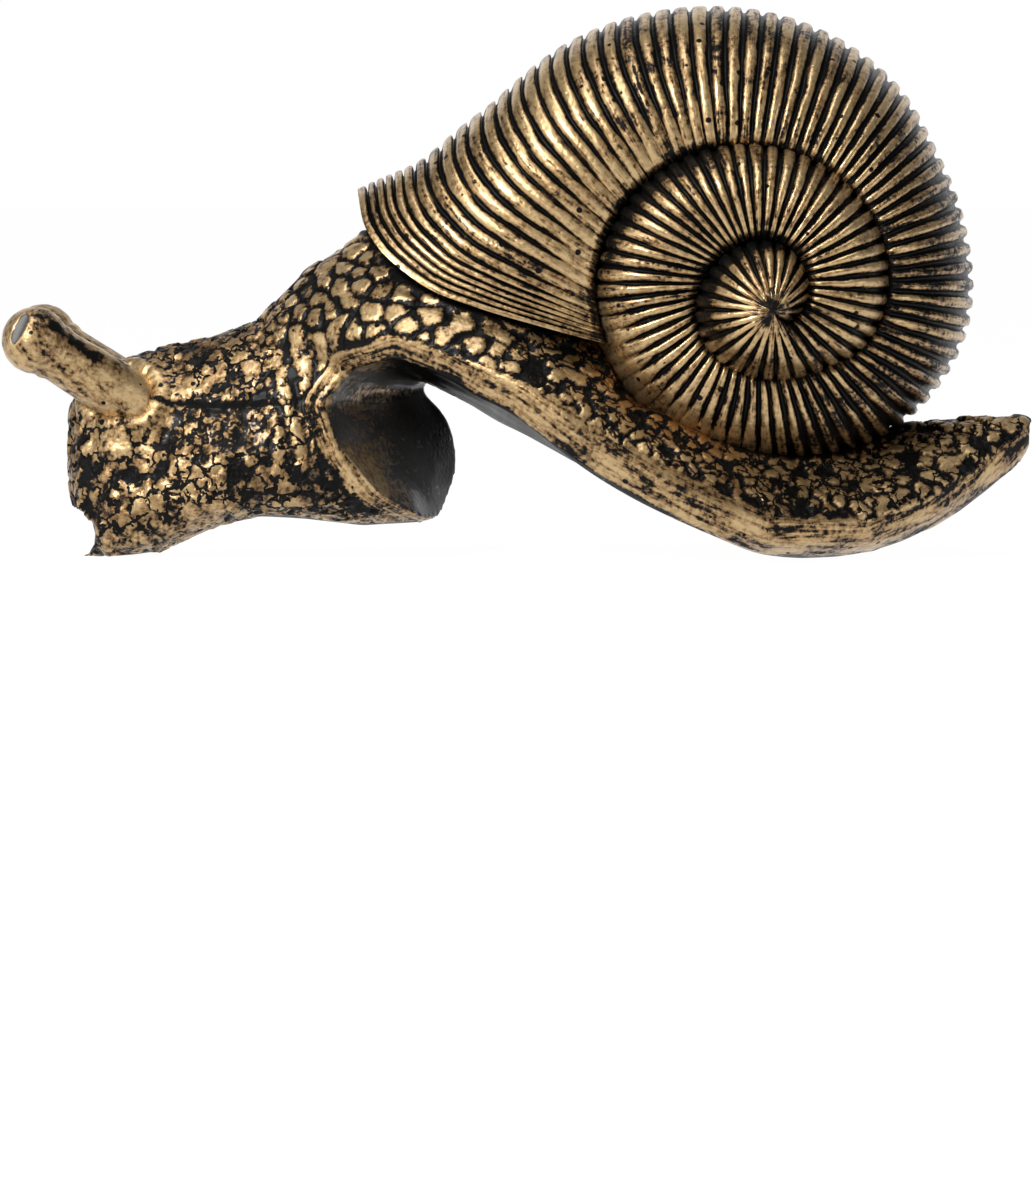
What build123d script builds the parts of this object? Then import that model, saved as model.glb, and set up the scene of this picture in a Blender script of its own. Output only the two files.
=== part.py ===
"""Snail ornament in cast resin: an arched body that stands free or hooks over a rim, a ribbed spiral shell
seated on its back with two dowels, and two eye stalks on wire pins. Millimetres, head to -X, tail to +X,
top to +Z. The origin is the middle of the overall length, on the ground.
"""
from build123d import *
import math
import os

os.makedirs("parts", exist_ok=True)

# Body casting
body_length = 121.0
body_height = 41.0
foot_half_width = 24.0
chin_groove_radius = 3.5
stalk_reach = 8.0

# Shell: rear radius of the last whorl, half widths of the last whorl, the middle tier and the tip
shell_radius = 28.0
shell_setback = 34.6
shell_axis_height = 34.6
whorl_half_width = 19.0
tier_half_width = 25.2
tip_half_width = 29.2
nucleus_rise = 1.4
rib_height = 0.7
rib_pitch = 2.3
suture_gap = 0.2
seat_gap = 0.2
seat_depth = 5.0

# Eye stalks
stalk_root_radius = 3.9
stalk_neck_radius = 3.4
ball_radius = 4.25
collar_radius = 3.7
collar_width = 0.8
stalk_spread = 22.0
stalk_lift = 31.0
socket_gap = 0.1

# Wire pins in the stalks and dowels under the shell
pin_radius = 0.8
pin_length = 12.0
dowel_radius = 2.0
dowel_length = 13.0
pin_gap = 0.06

# Places along the body, its heights and its half widths, as shares of the three body sizes
# Each row: place, underside, widest height, top, sole handle, half width, top handle, flank rise
head_section_shares = (
    (0.000, 0.210, 0.320, 0.455, 0.050, 0.125, 0.070, 0.50),
    (0.013, 0.000, 0.230, 0.535, 0.190, 0.270, 0.180, 0.50),
    (0.041, -0.012, 0.150, 0.590, 0.300, 0.355, 0.240, 0.45),
    (0.091, 0.010, 0.155, 0.640, 0.360, 0.440, 0.270, 0.40),
    (0.149, 0.088, 0.220, 0.672, 0.440, 0.560, 0.290, 0.40),
    (0.198, 0.118, 0.250, 0.730, 0.440, 0.545, 0.300, 0.40),
    (0.248, 0.110, 0.270, 0.885, 0.440, 0.530, 0.320, 0.45),
    (0.306, 0.090, 0.290, 0.990, 0.440, 0.545, 0.370, 0.50),
    (0.364, 0.100, 0.320, 1.000, 0.440, 0.560, 0.430, 0.55),
    (0.430, 0.160, 0.370, 0.960, 0.380, 0.520, 0.430, 0.55),
)
foot_section_shares = (
    (0.223, 0.570, 0.660, 0.800, 0.210, 0.330, 0.200, 0.40),
    (0.289, 0.490, 0.670, 0.940, 0.420, 0.580, 0.300, 0.30),
    (0.347, 0.460, 0.670, 0.980, 0.620, 0.750, 0.360, 0.25),
    (0.430, 0.370, 0.590, 0.945, 0.780, 0.905, 0.400, 0.20),
    (0.512, 0.240, 0.450, 0.830, 0.860, 0.985, 0.380, 0.18),
    (0.595, 0.100, 0.300, 0.660, 0.900, 1.000, 0.320, 0.18),
    (0.678, 0.000, 0.175, 0.500, 0.880, 0.970, 0.260, 0.18),
    (0.760, -0.014, 0.112, 0.405, 0.760, 0.875, 0.220, 0.20),
    (0.835, 0.008, 0.128, 0.385, 0.580, 0.710, 0.200, 0.22),
    (0.901, 0.085, 0.210, 0.414, 0.360, 0.475, 0.180, 0.28),
    (0.955, 0.195, 0.307, 0.424, 0.190, 0.267, 0.140, 0.35),
    (0.990, 0.290, 0.370, 0.430, 0.090, 0.125, 0.080, 0.45),
    (1.000, 0.335, 0.385, 0.422, 0.045, 0.070, 0.045, 0.50),
)
under_edge_share = 0.45
chin_height_share = 0.07
arch_margin = 6.0
arch_twist_half_width = 12.0

# Arch under the body at mid width, and how far it moves per unit of width towards the right side
arch_shares = (
    (0.383, 0.128, 0.188, 0.067),
    (0.364, 0.230, 0.429, 0.029),
    (0.345, 0.352, 0.533, 0.071),
    (0.327, 0.466, 0.533, -0.017),
    (0.332, 0.540, 0.367, -0.088),
    (0.359, 0.570, 0.188, -0.137),
    (0.393, 0.527, 0.025, -0.096),
    (0.456, 0.420, -0.017, -0.100),
    (0.529, 0.282, 0.000, -0.042),
    (0.599, 0.170, 0.000, 0.000),
    (0.662, 0.084, 0.000, 0.000),
    (0.715, 0.012, 0.000, 0.000),
)

# Spiral, by the angle turned: radius as a share of the rear radius
whorl_radius_shares = (
    (-65, 0.129),
    (-52, 0.225),
    (0, 0.25),
    (62, 0.25),
    (122, 0.24),
    (160, 0.26),
    (185, 0.30),
    (226, 0.38),
    (278, 0.45),
    (309, 0.50),
    (331, 0.575),
    (354, 0.60),
    (410, 0.62),
    (447, 0.645),
    (480, 0.69),
    (514, 0.74),
    (540, 0.77),
    (581, 0.775),
    (606, 0.785),
    (630, 0.81),
    (660, 0.88),
    (690, 0.955),
    (712, 0.985),
    (730, 0.98),
    (752, 1.00),
    (776, 1.10),
    (800, 1.187),
    (824, 1.27),
    (848, 1.365),
    (864, 1.42),
    (874, 1.515),
    (880, 1.60),
    (886, 1.80),
    (898, 2.27),
)
rib_sweep_angles = ((0, 0), (700, 0), (780, 0), (816, 7), (831, 9), (858, 17), (875, 26), (886, 34), (898, 46))

# Rim of the mouth seen from the side, back and up from the spiral's axis, as shares of the rear radius
rim_shares = (
    (-1.870, 0.640),
    (-1.800, 0.430),
    (-1.742, 0.240),
    (-1.638, 0.104),
    (-1.480, -0.014),
    (-1.253, -0.104),
    (-0.982, -0.185),
    (-0.715, -0.255),
)
whorl_power = ((0, 3.6), (300, 4.2), (540, 4.2), (640, 2.6), (720, 1.9), (800, 2.2), (886, 3.1))
whorl_start_angle = -40
whorl_end_angle = 898
rim_end_angle = 562
rim_last_angle = 640
rim_angle_step = 13
rim_cut_share = 3
blend_start_angle = 430
blend_end_angle = 660
section_steps = 4
crease_share = 0.93
ball_steps = 6
core_width_share = 0.92
dome_share = 0.7
web_width_share = 0.15
seat_start_angle = 520
seat_middle_angle = 700
seat_steps = 14

# Places of the eye stalks and dowels on the body
stalk_place_share = 0.085
stalk_height_share = 0.446
stalk_offset_share = 0.16
front_dowel_share = 0.47
rear_dowel_share = 0.785
dowel_in_body_share = 0.5
pin_in_stalk_share = 0.6

full_turn = 360
overall_length = body_length + stalk_reach
front_x = stalk_reach - overall_length / 2
tail_x = front_x + body_length
axis_x = tail_x - shell_setback
axis_z = shell_axis_height


def along(table, place):
    """Smooth reading of a table of places and values, without overshoot."""
    places = [row[0] for row in table]
    values = [row[1] for row in table]
    if place <= places[0]:
        return values[0]
    if place >= places[-1]:
        return values[-1]
    spans = [b - a for a, b in zip(places, places[1:])]
    rises = [(b - a) / s for a, b, s in zip(values, values[1:], spans)]
    slopes = [rises[0]]
    for before, after in zip(rises, rises[1:]):
        both = before * after
        slopes.append(2 * both / (before + after) if both > 0 else 0)
    slopes.append(rises[-1])
    i = max(k for k in range(len(spans)) if places[k] <= place)
    t = (place - places[i]) / spans[i]
    a = 2 * t**3 - 3 * t**2 + 1
    b = t**3 - 2 * t**2 + t
    c = 3 * t**2 - 2 * t**3
    d = t**3 - t**2
    return a * values[i] + b * spans[i] * slopes[i] + c * values[i + 1] + d * spans[i] * slopes[i + 1]


def whorl_radius(angle):
    return shell_radius * along(whorl_radius_shares, angle)


def whorl_width(angle):
    """Half width of the whorl: the tip tier, then the middle tier, then the last whorl."""
    widths = (
        (0, tip_half_width),
        (200, tip_half_width),
        (360, tier_half_width),
        (blend_start_angle, tier_half_width),
        (blend_end_angle, whorl_half_width),
        (whorl_end_angle, whorl_half_width),
    )
    return along(widths, angle)


def whorl_section(angle, grow, depth):
    """Plane and outline of the shell cut across its spiral, from the suture out to the periphery."""
    inner_angle = angle + along(rib_sweep_angles, angle)
    outer_radius = whorl_radius(angle) + grow
    inner_radius = whorl_radius(inner_angle - full_turn) + suture_gap
    turn = math.radians(angle)
    inner_turn = math.radians(inner_angle)
    outer = Vector(axis_x + outer_radius * math.cos(turn), 0, axis_z + outer_radius * math.sin(turn))
    inner = Vector(axis_x + inner_radius * math.cos(inner_turn), 0, axis_z + inner_radius * math.sin(inner_turn))
    out = outer - inner
    plane = Plane(origin=inner, x_dir=out, z_dir=out.cross(Vector(0, 1, 0)))
    width = whorl_width(angle) + grow
    power = 2 / along(whorl_power, angle)
    side = [(0, width * crease_share)]
    for step in range(1, section_steps + 1):
        lean = math.radians(90 * step / section_steps)
        side.append((out.length * math.sin(lean) ** power, width * math.cos(lean) ** power))
    if depth:
        side.insert(0, (-depth, width * crease_share))
    points = [(u, -v) for u, v in side] + [(u, v) for u, v in reversed(side[:-1])]
    return plane, points


def rib_angles():
    """Angles of rib crests and valleys, one rib pitch apart along the periphery."""
    angles = [whorl_start_angle]
    while angles[-1] < whorl_end_angle:
        here = angles[-1]
        ahead = here + 1
        a = math.radians(here)
        b = math.radians(ahead)
        ra = whorl_radius(here)
        rb = whorl_radius(ahead)
        stride = math.hypot(rb * math.cos(b) - ra * math.cos(a), rb * math.sin(b) - ra * math.sin(a))
        angles.append(here + rib_pitch / 2 / stride)
    scale = (whorl_end_angle - whorl_start_angle) / (angles[-1] - whorl_start_angle)
    return [whorl_start_angle + (angle - whorl_start_angle) * scale for angle in angles]


def core_outline():
    """Half outline of the solid middle of the shell, turned about the spiral axis."""
    wide = whorl_radius(full_turn)
    tier = whorl_radius(0)
    dome = tier * dome_share
    waist = whorl_half_width * core_width_share
    neck = tier_half_width * core_width_share
    crown = tip_half_width * core_width_share
    brow = tip_half_width + nucleus_rise * core_width_share / 2
    tip = tip_half_width + nucleus_rise
    web = whorl_radius(full_turn * 3 / 2)
    half = ((0, tip), (dome / 2, brow), (dome, crown), (tier, neck), (wide, waist), (web, waist * web_width_share))
    return list(half) + [(r, -y) for r, y in reversed(half)]


def body_section(shares):
    """Outline of the body across its length: sole, widest line, back."""
    place, under, widest, top, sole, half, back, rise = shares
    low = under * body_height
    mid = widest * body_height
    high = top * body_height
    wide = half * foot_half_width
    sole_handle = sole * foot_half_width
    back_handle = back * foot_half_width
    under_mid = mid - (mid - low) * under_edge_share
    over_mid = mid + (high - mid) * rise
    return (
        ((0, low), (sole_handle, low), (wide, under_mid), (wide, mid)),
        ((wide, mid), (wide, over_mid), (back_handle, high), (0, high)),
        ((0, high), (-back_handle, high), (-wide, over_mid), (-wide, mid)),
        ((-wide, mid), (-wide, under_mid), (-sole_handle, low), (0, low)),
    )


def place_x(share):
    return front_x + share * body_length


def stations(table):
    """The table's rows with one more between each two, read from the same smooth curves."""
    places = [row[0] for row in table]
    middles = [(a + b) / 2 for a, b in zip(places, places[1:])]
    columns = [[(row[0], row[k]) for row in table] for k in range(1, len(table[0]))]
    return [(x, *(along(column, x) for column in columns)) for x in sorted(places + middles)]


def rim_points(drop):
    """The mouth's rim seen from the side, then round the last whorl's underside, lowered by a gap."""
    points = [(axis_x + x * shell_radius, axis_z + z * shell_radius - drop) for x, z in rim_shares]
    wall = []
    for angle in range(rim_end_angle, rim_last_angle, rim_angle_step):
        radius = whorl_radius(angle) + suture_gap / 2
        turn = math.radians(angle)
        wall.append((axis_x + radius * math.cos(turn), axis_z + radius * math.sin(turn)))
    far = shell_radius * rim_cut_share
    corner = [(wall[-1][0], axis_z - far), (axis_x - far, axis_z - far), (axis_x - far, points[0][1])]
    return points, wall + corner


# Shell: one ribbed spiral tube about a solid core
angles = rib_angles()
valleys = [0 if index % 2 else -rib_height for index in range(len(angles))]
axis_plane = Plane(origin=(axis_x, 0, axis_z), x_dir=(1, 0, 0), z_dir=(0, 0, 1))
spiral_axis = Axis((axis_x, 0, axis_z), (0, 1, 0))
front_dowel_x = place_x(front_dowel_share)
rear_dowel_x = place_x(rear_dowel_share)
rim_line, rim_rest = rim_points(0)
side_plane = Plane(origin=(0, 0, 0), x_dir=(1, 0, 0), z_dir=(0, -1, 0))


def seat_height(x):
    """Height of the joint between shell and body over a place on the centre line."""
    for (xa, za), (xb, zb) in zip(rim_line, rim_line[1:]):
        if xa <= x <= xb:
            return za + (zb - za) * (x - xa) / (xb - xa)
    depth = whorl_radius(full_turn * 2 - 90)
    return axis_z - math.sqrt(max(depth**2 - (x - axis_x) ** 2, 0))


dowel_places = []
for dowel_x in (front_dowel_x, rear_dowel_x):
    dowel_foot = seat_height(dowel_x) - dowel_length * dowel_in_body_share
    dowel_places.append((dowel_x, dowel_foot))

with BuildPart() as shell:
    for angle, valley in zip(angles, valleys):
        section_plane, section_points = whorl_section(angle, valley, 0)
        with BuildSketch(section_plane):
            with BuildLine():
                Polyline(*section_points, close=True)
            make_face()
    loft(ruled=True)
    with BuildSketch(axis_plane):
        with BuildLine():
            Polyline(*core_outline(), close=True)
        make_face()
    revolve(axis=spiral_axis)
    with BuildSketch(side_plane):
        with BuildLine():
            Spline(*rim_line)
            Polyline(rim_line[-1], *rim_rest, rim_line[0])
        make_face()
    extrude(amount=tier_half_width, both=True, mode=Mode.SUBTRACT)
    for dowel_x, dowel_foot in dowel_places:
        with Locations((dowel_x, 0, dowel_foot)):
            Cylinder(
                dowel_radius + pin_gap,
                dowel_length + pin_gap,
                align=(Align.CENTER, Align.CENTER, Align.MIN),
                mode=Mode.SUBTRACT,
            )
shell.part.label = "shell"

# Room for the shell in the body: the same spiral without ribs, a gap wider all round
with BuildPart() as rear_room:
    for index in range(seat_steps + 1):
        angle = seat_start_angle + (seat_middle_angle - seat_start_angle) * index / seat_steps
        section_plane, section_points = whorl_section(angle, seat_gap, seat_depth)
        with BuildSketch(section_plane):
            with BuildLine():
                Polyline(*section_points, close=True)
            make_face()
    loft(ruled=True)

gap_line, gap_rest = rim_points(seat_gap)
with BuildPart() as lip_room:
    for index in range(seat_steps + 1):
        angle = seat_middle_angle + (whorl_end_angle - seat_middle_angle) * index / seat_steps
        section_plane, section_points = whorl_section(angle, seat_gap, seat_depth)
        with BuildSketch(section_plane):
            with BuildLine():
                Polyline(*section_points, close=True)
            make_face()
    loft(ruled=True)
    with BuildSketch(side_plane):
        with BuildLine():
            Spline(*gap_line)
            Polyline(gap_line[-1], *gap_rest, gap_line[0])
        make_face()
    extrude(amount=tier_half_width, both=True, mode=Mode.SUBTRACT)

# Eye stalks: a tapered stem, a collar and a ball, turned about a leaning axis
stalk_root_x = place_x(stalk_place_share)
stalk_root_z = stalk_height_share * body_height
stalk_root_y = stalk_offset_share * foot_half_width
lean = math.radians(stalk_lift)
spread = math.radians(stalk_spread)
stalk_length = (stalk_root_x - (front_x - stalk_reach) - ball_radius) / (math.cos(lean) * math.cos(spread))
ball_flat = math.sqrt(ball_radius**2 - stalk_neck_radius**2)
collar_start = stalk_length - ball_flat - collar_width


def stalk_plane(side):
    """Plane whose x runs along a stalk from its root to its ball; side is -1 for the left."""
    root = Vector(stalk_root_x, side * stalk_root_y, stalk_root_z)
    ahead = Vector(
        -math.cos(lean) * math.cos(spread), side * math.cos(lean) * math.sin(spread), math.sin(lean)
    )
    across = Vector(math.sin(spread), side * math.cos(spread), 0)
    return Plane(origin=root, x_dir=ahead, z_dir=ahead.cross(across))


def stalk_lines():
    """Half outline of a stalk along its axis, from the flat foot to the top of the ball."""
    ball_start = math.pi - math.asin(stalk_neck_radius / ball_radius)
    ball = []
    for step in range(ball_steps):
        turn = ball_start * (1 - step / ball_steps)
        ball.append((stalk_length + ball_radius * math.cos(turn), ball_radius * math.sin(turn)))
    Polyline(
        (0, 0),
        (0, stalk_root_radius),
        (collar_start, stalk_neck_radius),
        (collar_start, collar_radius),
        (collar_start + collar_width, collar_radius),
        *ball,
        (stalk_length + ball_radius, 0),
        close=True,
    )


left_plane = stalk_plane(-1)
right_plane = stalk_plane(1)
left_foot = Plane(origin=left_plane.origin, z_dir=left_plane.x_dir)
right_foot = Plane(origin=right_plane.origin, z_dir=right_plane.x_dir)
pin_tail = pin_length * (1 - pin_in_stalk_share)
pin_base = (Align.CENTER, Align.CENTER, Align.MIN)

with BuildPart() as eye_stalk_left:
    with BuildSketch(left_plane):
        with BuildLine():
            stalk_lines()
        make_face()
    revolve(axis=Axis(left_plane.origin, left_plane.x_dir))
    with Locations(left_foot.offset(-pin_tail)):
        Cylinder(pin_radius + pin_gap, pin_length + pin_gap, align=pin_base, mode=Mode.SUBTRACT)
eye_stalk_left.part.label = "eye_stalk_left"

with BuildPart() as eye_stalk_right:
    with BuildSketch(right_plane):
        with BuildLine():
            stalk_lines()
        make_face()
    revolve(axis=Axis(right_plane.origin, right_plane.x_dir))
    with Locations(right_foot.offset(-pin_tail)):
        Cylinder(pin_radius + pin_gap, pin_length + pin_gap, align=pin_base, mode=Mode.SUBTRACT)
eye_stalk_right.part.label = "eye_stalk_right"

with BuildPart() as stalk_pin_left:
    with Locations(left_foot.offset(-pin_tail)):
        Cylinder(pin_radius, pin_length, align=pin_base)
stalk_pin_left.part.label = "stalk_pin_left"

with BuildPart() as stalk_pin_right:
    with Locations(right_foot.offset(-pin_tail)):
        Cylinder(pin_radius, pin_length, align=pin_base)
stalk_pin_right.part.label = "stalk_pin_right"

with BuildPart() as shell_dowel_front:
    with Locations((dowel_places[0][0], 0, dowel_places[0][1])):
        Cylinder(dowel_radius, dowel_length, align=pin_base)
shell_dowel_front.part.label = "shell_dowel_front"

with BuildPart() as shell_dowel_rear:
    with Locations((dowel_places[1][0], 0, dowel_places[1][1])):
        Cylinder(dowel_radius, dowel_length, align=pin_base)
shell_dowel_rear.part.label = "shell_dowel_rear"


def arch_points(shift):
    """The arch's profile, moved as it is that far to the right of the middle."""
    return [(place_x(x) + shift * dx, z * body_height + shift * dz) for x, z, dx, dz in arch_shares]


# Body: a head and neck lofted from the face back, a foot lofted from the neck to the tail tip
arch_reach = foot_half_width + arch_margin
with BuildPart() as body:
    for shares in head_section_shares:
        with BuildSketch(Plane(origin=(place_x(shares[0]), 0, 0), x_dir=(0, 1, 0), z_dir=(1, 0, 0))):
            with BuildLine():
                for curve in body_section(shares):
                    Bezier(*curve)
            make_face()
    loft(ruled=True)
    for shares in stations(foot_section_shares):
        with BuildSketch(Plane(origin=(place_x(shares[0]), 0, 0), x_dir=(0, 1, 0), z_dir=(1, 0, 0))):
            with BuildLine():
                for curve in body_section(shares):
                    Bezier(*curve)
            make_face()
    loft(ruled=True)
    for arch_y in (-arch_reach, -arch_twist_half_width, arch_twist_half_width, arch_reach):
        profile = arch_points(max(-arch_twist_half_width, min(arch_twist_half_width, arch_y)))
        with BuildSketch(Plane(origin=(0, arch_y, 0), x_dir=(1, 0, 0), z_dir=(0, -1, 0))):
            with BuildLine():
                Spline(*profile)
                Polyline(profile[-1], (profile[-1][0], -arch_margin), (profile[0][0], -arch_margin), profile[0])
            make_face()
    loft(ruled=True, mode=Mode.SUBTRACT)
    Box(
        overall_length,
        foot_half_width * 2 + arch_margin,
        arch_margin,
        align=(Align.CENTER, Align.CENTER, Align.MAX),
        mode=Mode.SUBTRACT,
    )
    with Locations((front_x, 0, chin_height_share * body_height)):
        Cylinder(chin_groove_radius, foot_half_width * 2, rotation=(90, 0, 0), mode=Mode.SUBTRACT)
    add(rear_room.part, mode=Mode.SUBTRACT)
    add(lip_room.part, mode=Mode.SUBTRACT)
    for foot in (left_foot, right_foot):
        with Locations(foot):
            Cylinder(stalk_root_radius + socket_gap, stalk_length, align=pin_base, mode=Mode.SUBTRACT)
        with Locations(foot.offset(-pin_tail - pin_gap)):
            Cylinder(pin_radius + pin_gap, pin_length, align=pin_base, mode=Mode.SUBTRACT)
    for dowel_x, dowel_foot in dowel_places:
        with Locations((dowel_x, 0, dowel_foot - pin_gap)):
            Cylinder(dowel_radius + pin_gap, dowel_length + pin_gap, align=pin_base, mode=Mode.SUBTRACT)
body.part.label = "body"

export_step(body.part, "parts/body.step")
export_step(shell.part, "parts/shell.step")
export_step(eye_stalk_left.part, "parts/eye_stalk_left.step")
export_step(eye_stalk_right.part, "parts/eye_stalk_right.step")
export_step(stalk_pin_left.part, "parts/stalk_pin_left.step")
export_step(stalk_pin_right.part, "parts/stalk_pin_right.step")
export_step(shell_dowel_front.part, "parts/shell_dowel_front.step")
export_step(shell_dowel_rear.part, "parts/shell_dowel_rear.step")
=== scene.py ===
"""Snail ornament in cast resin, gilded over a black ground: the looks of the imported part.

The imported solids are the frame. The shell is swept again along its spiral with its worked ribs. The body and
the eye stalks are even copies of their solids with scales, folds, a smooth sole band and wear cut into them.
The hidden pins and dowels keep their solids. All lengths are in metres.
"""

import math

import bmesh
import bpy
import numpy as np
from bpy.props import FloatProperty, FloatVectorProperty, IntProperty, PointerProperty
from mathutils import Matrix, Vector, bvhtree, kdtree, noise


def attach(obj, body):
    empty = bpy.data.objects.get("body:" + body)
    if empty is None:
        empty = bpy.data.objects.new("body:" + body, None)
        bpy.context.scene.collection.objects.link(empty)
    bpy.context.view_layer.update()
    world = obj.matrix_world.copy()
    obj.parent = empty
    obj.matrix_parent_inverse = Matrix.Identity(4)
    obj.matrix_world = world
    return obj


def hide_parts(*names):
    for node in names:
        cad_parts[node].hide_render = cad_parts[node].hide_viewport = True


bl_info = {
    "name": "Gilded snail ornament",
    "version": (1, 0, 0),
    "blender": (4, 5, 0),
    "location": "3D View > Sidebar > Snail",
    "description": "Builds a gilded resin snail ornament on its packed solids",
    "category": "Object",
}

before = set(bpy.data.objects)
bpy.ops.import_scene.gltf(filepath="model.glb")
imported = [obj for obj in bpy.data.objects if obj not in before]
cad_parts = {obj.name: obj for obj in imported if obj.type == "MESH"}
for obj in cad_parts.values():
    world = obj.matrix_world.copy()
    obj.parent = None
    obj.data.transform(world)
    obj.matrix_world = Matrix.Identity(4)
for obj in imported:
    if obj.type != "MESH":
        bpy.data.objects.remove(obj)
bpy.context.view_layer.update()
MM = 0.001
FULL_TURN = 360.0
PICTURE_WIDTH = 1035

# Spiral of the shell, by the angle turned: radius as a share of the rear radius
WHORL_RADIUS_SHARES = (
    (-65, 0.129),
    (-52, 0.225),
    (0, 0.25),
    (62, 0.25),
    (122, 0.24),
    (160, 0.26),
    (185, 0.30),
    (226, 0.38),
    (278, 0.45),
    (309, 0.50),
    (331, 0.575),
    (354, 0.60),
    (410, 0.62),
    (447, 0.645),
    (480, 0.69),
    (514, 0.74),
    (540, 0.77),
    (581, 0.775),
    (606, 0.785),
    (630, 0.81),
    (660, 0.88),
    (690, 0.955),
    (712, 0.985),
    (730, 0.98),
    (752, 1.00),
    (776, 1.10),
    (800, 1.187),
    (824, 1.27),
    (848, 1.365),
    (864, 1.42),
    (874, 1.515),
    (880, 1.60),
    (886, 1.80),
    (898, 2.27),
)
# How far the ribs lean back, how square a section is and how wide its grooves are, by the angle turned
RIB_SWEEP_ANGLES = (
    (0, 0), (700, 0), (780, 0), (816, 7), (831, 9), (858, 17), (875, 26), (886, 34), (898, 46),
)
WHORL_POWERS = ((0, 3.6), (300, 4.2), (540, 4.2), (640, 2.6), (720, 1.9), (800, 2.2), (886, 3.1))
GROOVE_SHARES = (
    (0, 0.25), (300, 0.26), (540, 0.25), (620, 0.29), (720, 0.31), (780, 0.27), (840, 0.21), (886, 0.20),
)
WHORL_START = -65.0
WHORL_END = 886.9
FAN_START = 290.0
FAN_END = 312.0
BLEND_START = 430.0
BLEND_END = 660.0
BEND_START = 790.0

# Stretches of the spiral with looks of their own, by the angles between which they fade in and out
NUCLEUS_ANGLES = ((45, 80), (235, 205))
TIER_ANGLES = ((455, 480), (545, 520))
SHALLOW_ANGLES = ((525, 560), (655, 615))
# The right side of the shell, turned away from the key light, holds less gold: painted shade.
SHADED_SIDE_ANGLES = ((630, 670), (790, 740))
STEADY_ANGLES = (600, 700)
SKIRT_ANGLES = (800, 830)

# Distances from a whorl's suture over which the work on the shell fades in
HUB_GAPS = (3.6 * MM, 1.4 * MM)
HUB_FADE_GAPS = (2.4 * MM, 0.6 * MM)
HUB_SHADE_GAPS = (0.3 * MM, 2.0 * MM)
SUTURE_GROOVE_GAPS = (0.4 * MM, 2.0 * MM)
SUTURE_SHADE_GAPS = (0.3 * MM, 1.5 * MM)
SKIRT_GAPS = (9.0 * MM, 3.0 * MM)
SUTURE_PINCH = 0.05
SUTURE_PINCH_REACH = 0.7 * MM

# Ribs crowd towards the rim of the mouth, which is hollowed behind a narrow wall
RIM_CROWDING = 0.9
RIM_CROWDING_GAPS = (11 * MM, 3 * MM)
MOUTH_WALL = 0.7 * MM
MOUTH_DEPTH = 0.5 * MM
SPIRAL_STEPS = 6000
OUTLINE_STEPS = 721
INSIDE_POINTS = 6
SHELL_MERGE_GAP = 0.01 * MM
SOLID_MERGE_GAP = 0.005 * MM

# Rim of the mouth seen from the side, back and up from the spiral's axis, as shares of the rear radius
RIM_SHARES = (
    (-0.982, -0.185),
    (-1.253, -0.104),
    (-1.480, -0.014),
    (-1.638, 0.104),
    (-1.742, 0.240),
)

# Sole line at mid width, as shares of body length and height, its drift towards the right side, and the
# width of the smooth band above it as a share of the widest band
SOLE_SHARES = (
    (0.383, 0.128, 0.188, 0.067, 0.42),
    (0.364, 0.230, 0.429, 0.029, 0.54),
    (0.345, 0.352, 0.533, 0.071, 0.60),
    (0.327, 0.466, 0.533, -0.017, 0.60),
    (0.332, 0.540, 0.367, -0.088, 0.58),
    (0.359, 0.570, 0.188, -0.137, 0.60),
    (0.393, 0.527, 0.025, -0.096, 0.66),
    (0.456, 0.420, -0.017, -0.100, 0.84),
    (0.529, 0.282, 0.000, -0.042, 0.96),
    (0.599, 0.170, 0.000, 0.000, 1.00),
    (0.662, 0.084, 0.000, 0.000, 1.00),
    (0.715, 0.012, 0.000, 0.000, 0.96),
    (0.835, 0.008, 0.000, 0.000, 0.86),
    (0.901, 0.085, 0.000, 0.000, 0.74),
    (0.955, 0.195, 0.000, 0.000, 0.62),
    (1.000, 0.335, 0.000, 0.000, 0.44),
)

# Zones of the body's surface, by the shares of body length between which they fade in and out
NECK_SHARES = ((0.16, 0.26), (0.52, 0.40))
CHEEK_SHARES = ((0.075, 0.11), (0.225, 0.185))
SEAM_SHARES = ((0.05, 0.07), (0.235, 0.215))
FACET_SHARES = ((0.122, 0.135), (0.178, 0.165))
FOLD_SHARES = ((0.205, 0.222), (0.285, 0.268))
LOBE_SHARES = ((0.222, 0.25), (0.37, 0.34))
# Painted shadow under the shell's edge is painted lighter over these shares.
SHADOW_LIGHTER_SHARES = ((0.46, 0.53), (0.72, 0.64))
# Shares over which the body beside the shell takes painted amber bounce light.
BOUNCE_LIGHT_SHARES = ((0.46, 0.54), (0.74, 0.64))
HEAD_SHARES = (0.34, 0.24)
ARCH_SHARES = (0.50, 0.46)
ARCH_LINE_SHARES = (0.46, 0.40)
PADDLE_SHARES = (0.40, 0.36)
PADDLE_RIM_SHARES = (0.36, 0.31)
PADDLE_FOOT_SHARES = (0.42, 0.32)
FLANK_SHARES = (0.46, 0.54)
TAIL_SHARES = (0.74, 0.84)
TAIL_TIP_SHARES = (0.955, 0.985)
REST_FRONT_SHARE = 0.6
REST_MIDDLE_SHARE = 0.775

# The same up the body, by shares of body height
CHEEK_HEIGHT_SHARES = ((0.31, 0.37), (0.478, 0.468))
FOLD_HEIGHT_SHARES = ((0.26, 0.36), (0.74, 0.64))
NECK_HEIGHT_SHARES = (0.42, 0.55)
BRIM_HEIGHT_SHARES = (0.20, 0.10)
FACET_HEIGHT_SHARES = (0.20, 0.15)
LOBE_HEIGHT_SHARES = (0.36, 0.27)
PADDLE_FOOT_HEIGHT_SHARES = (0.34, 0.16)

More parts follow.
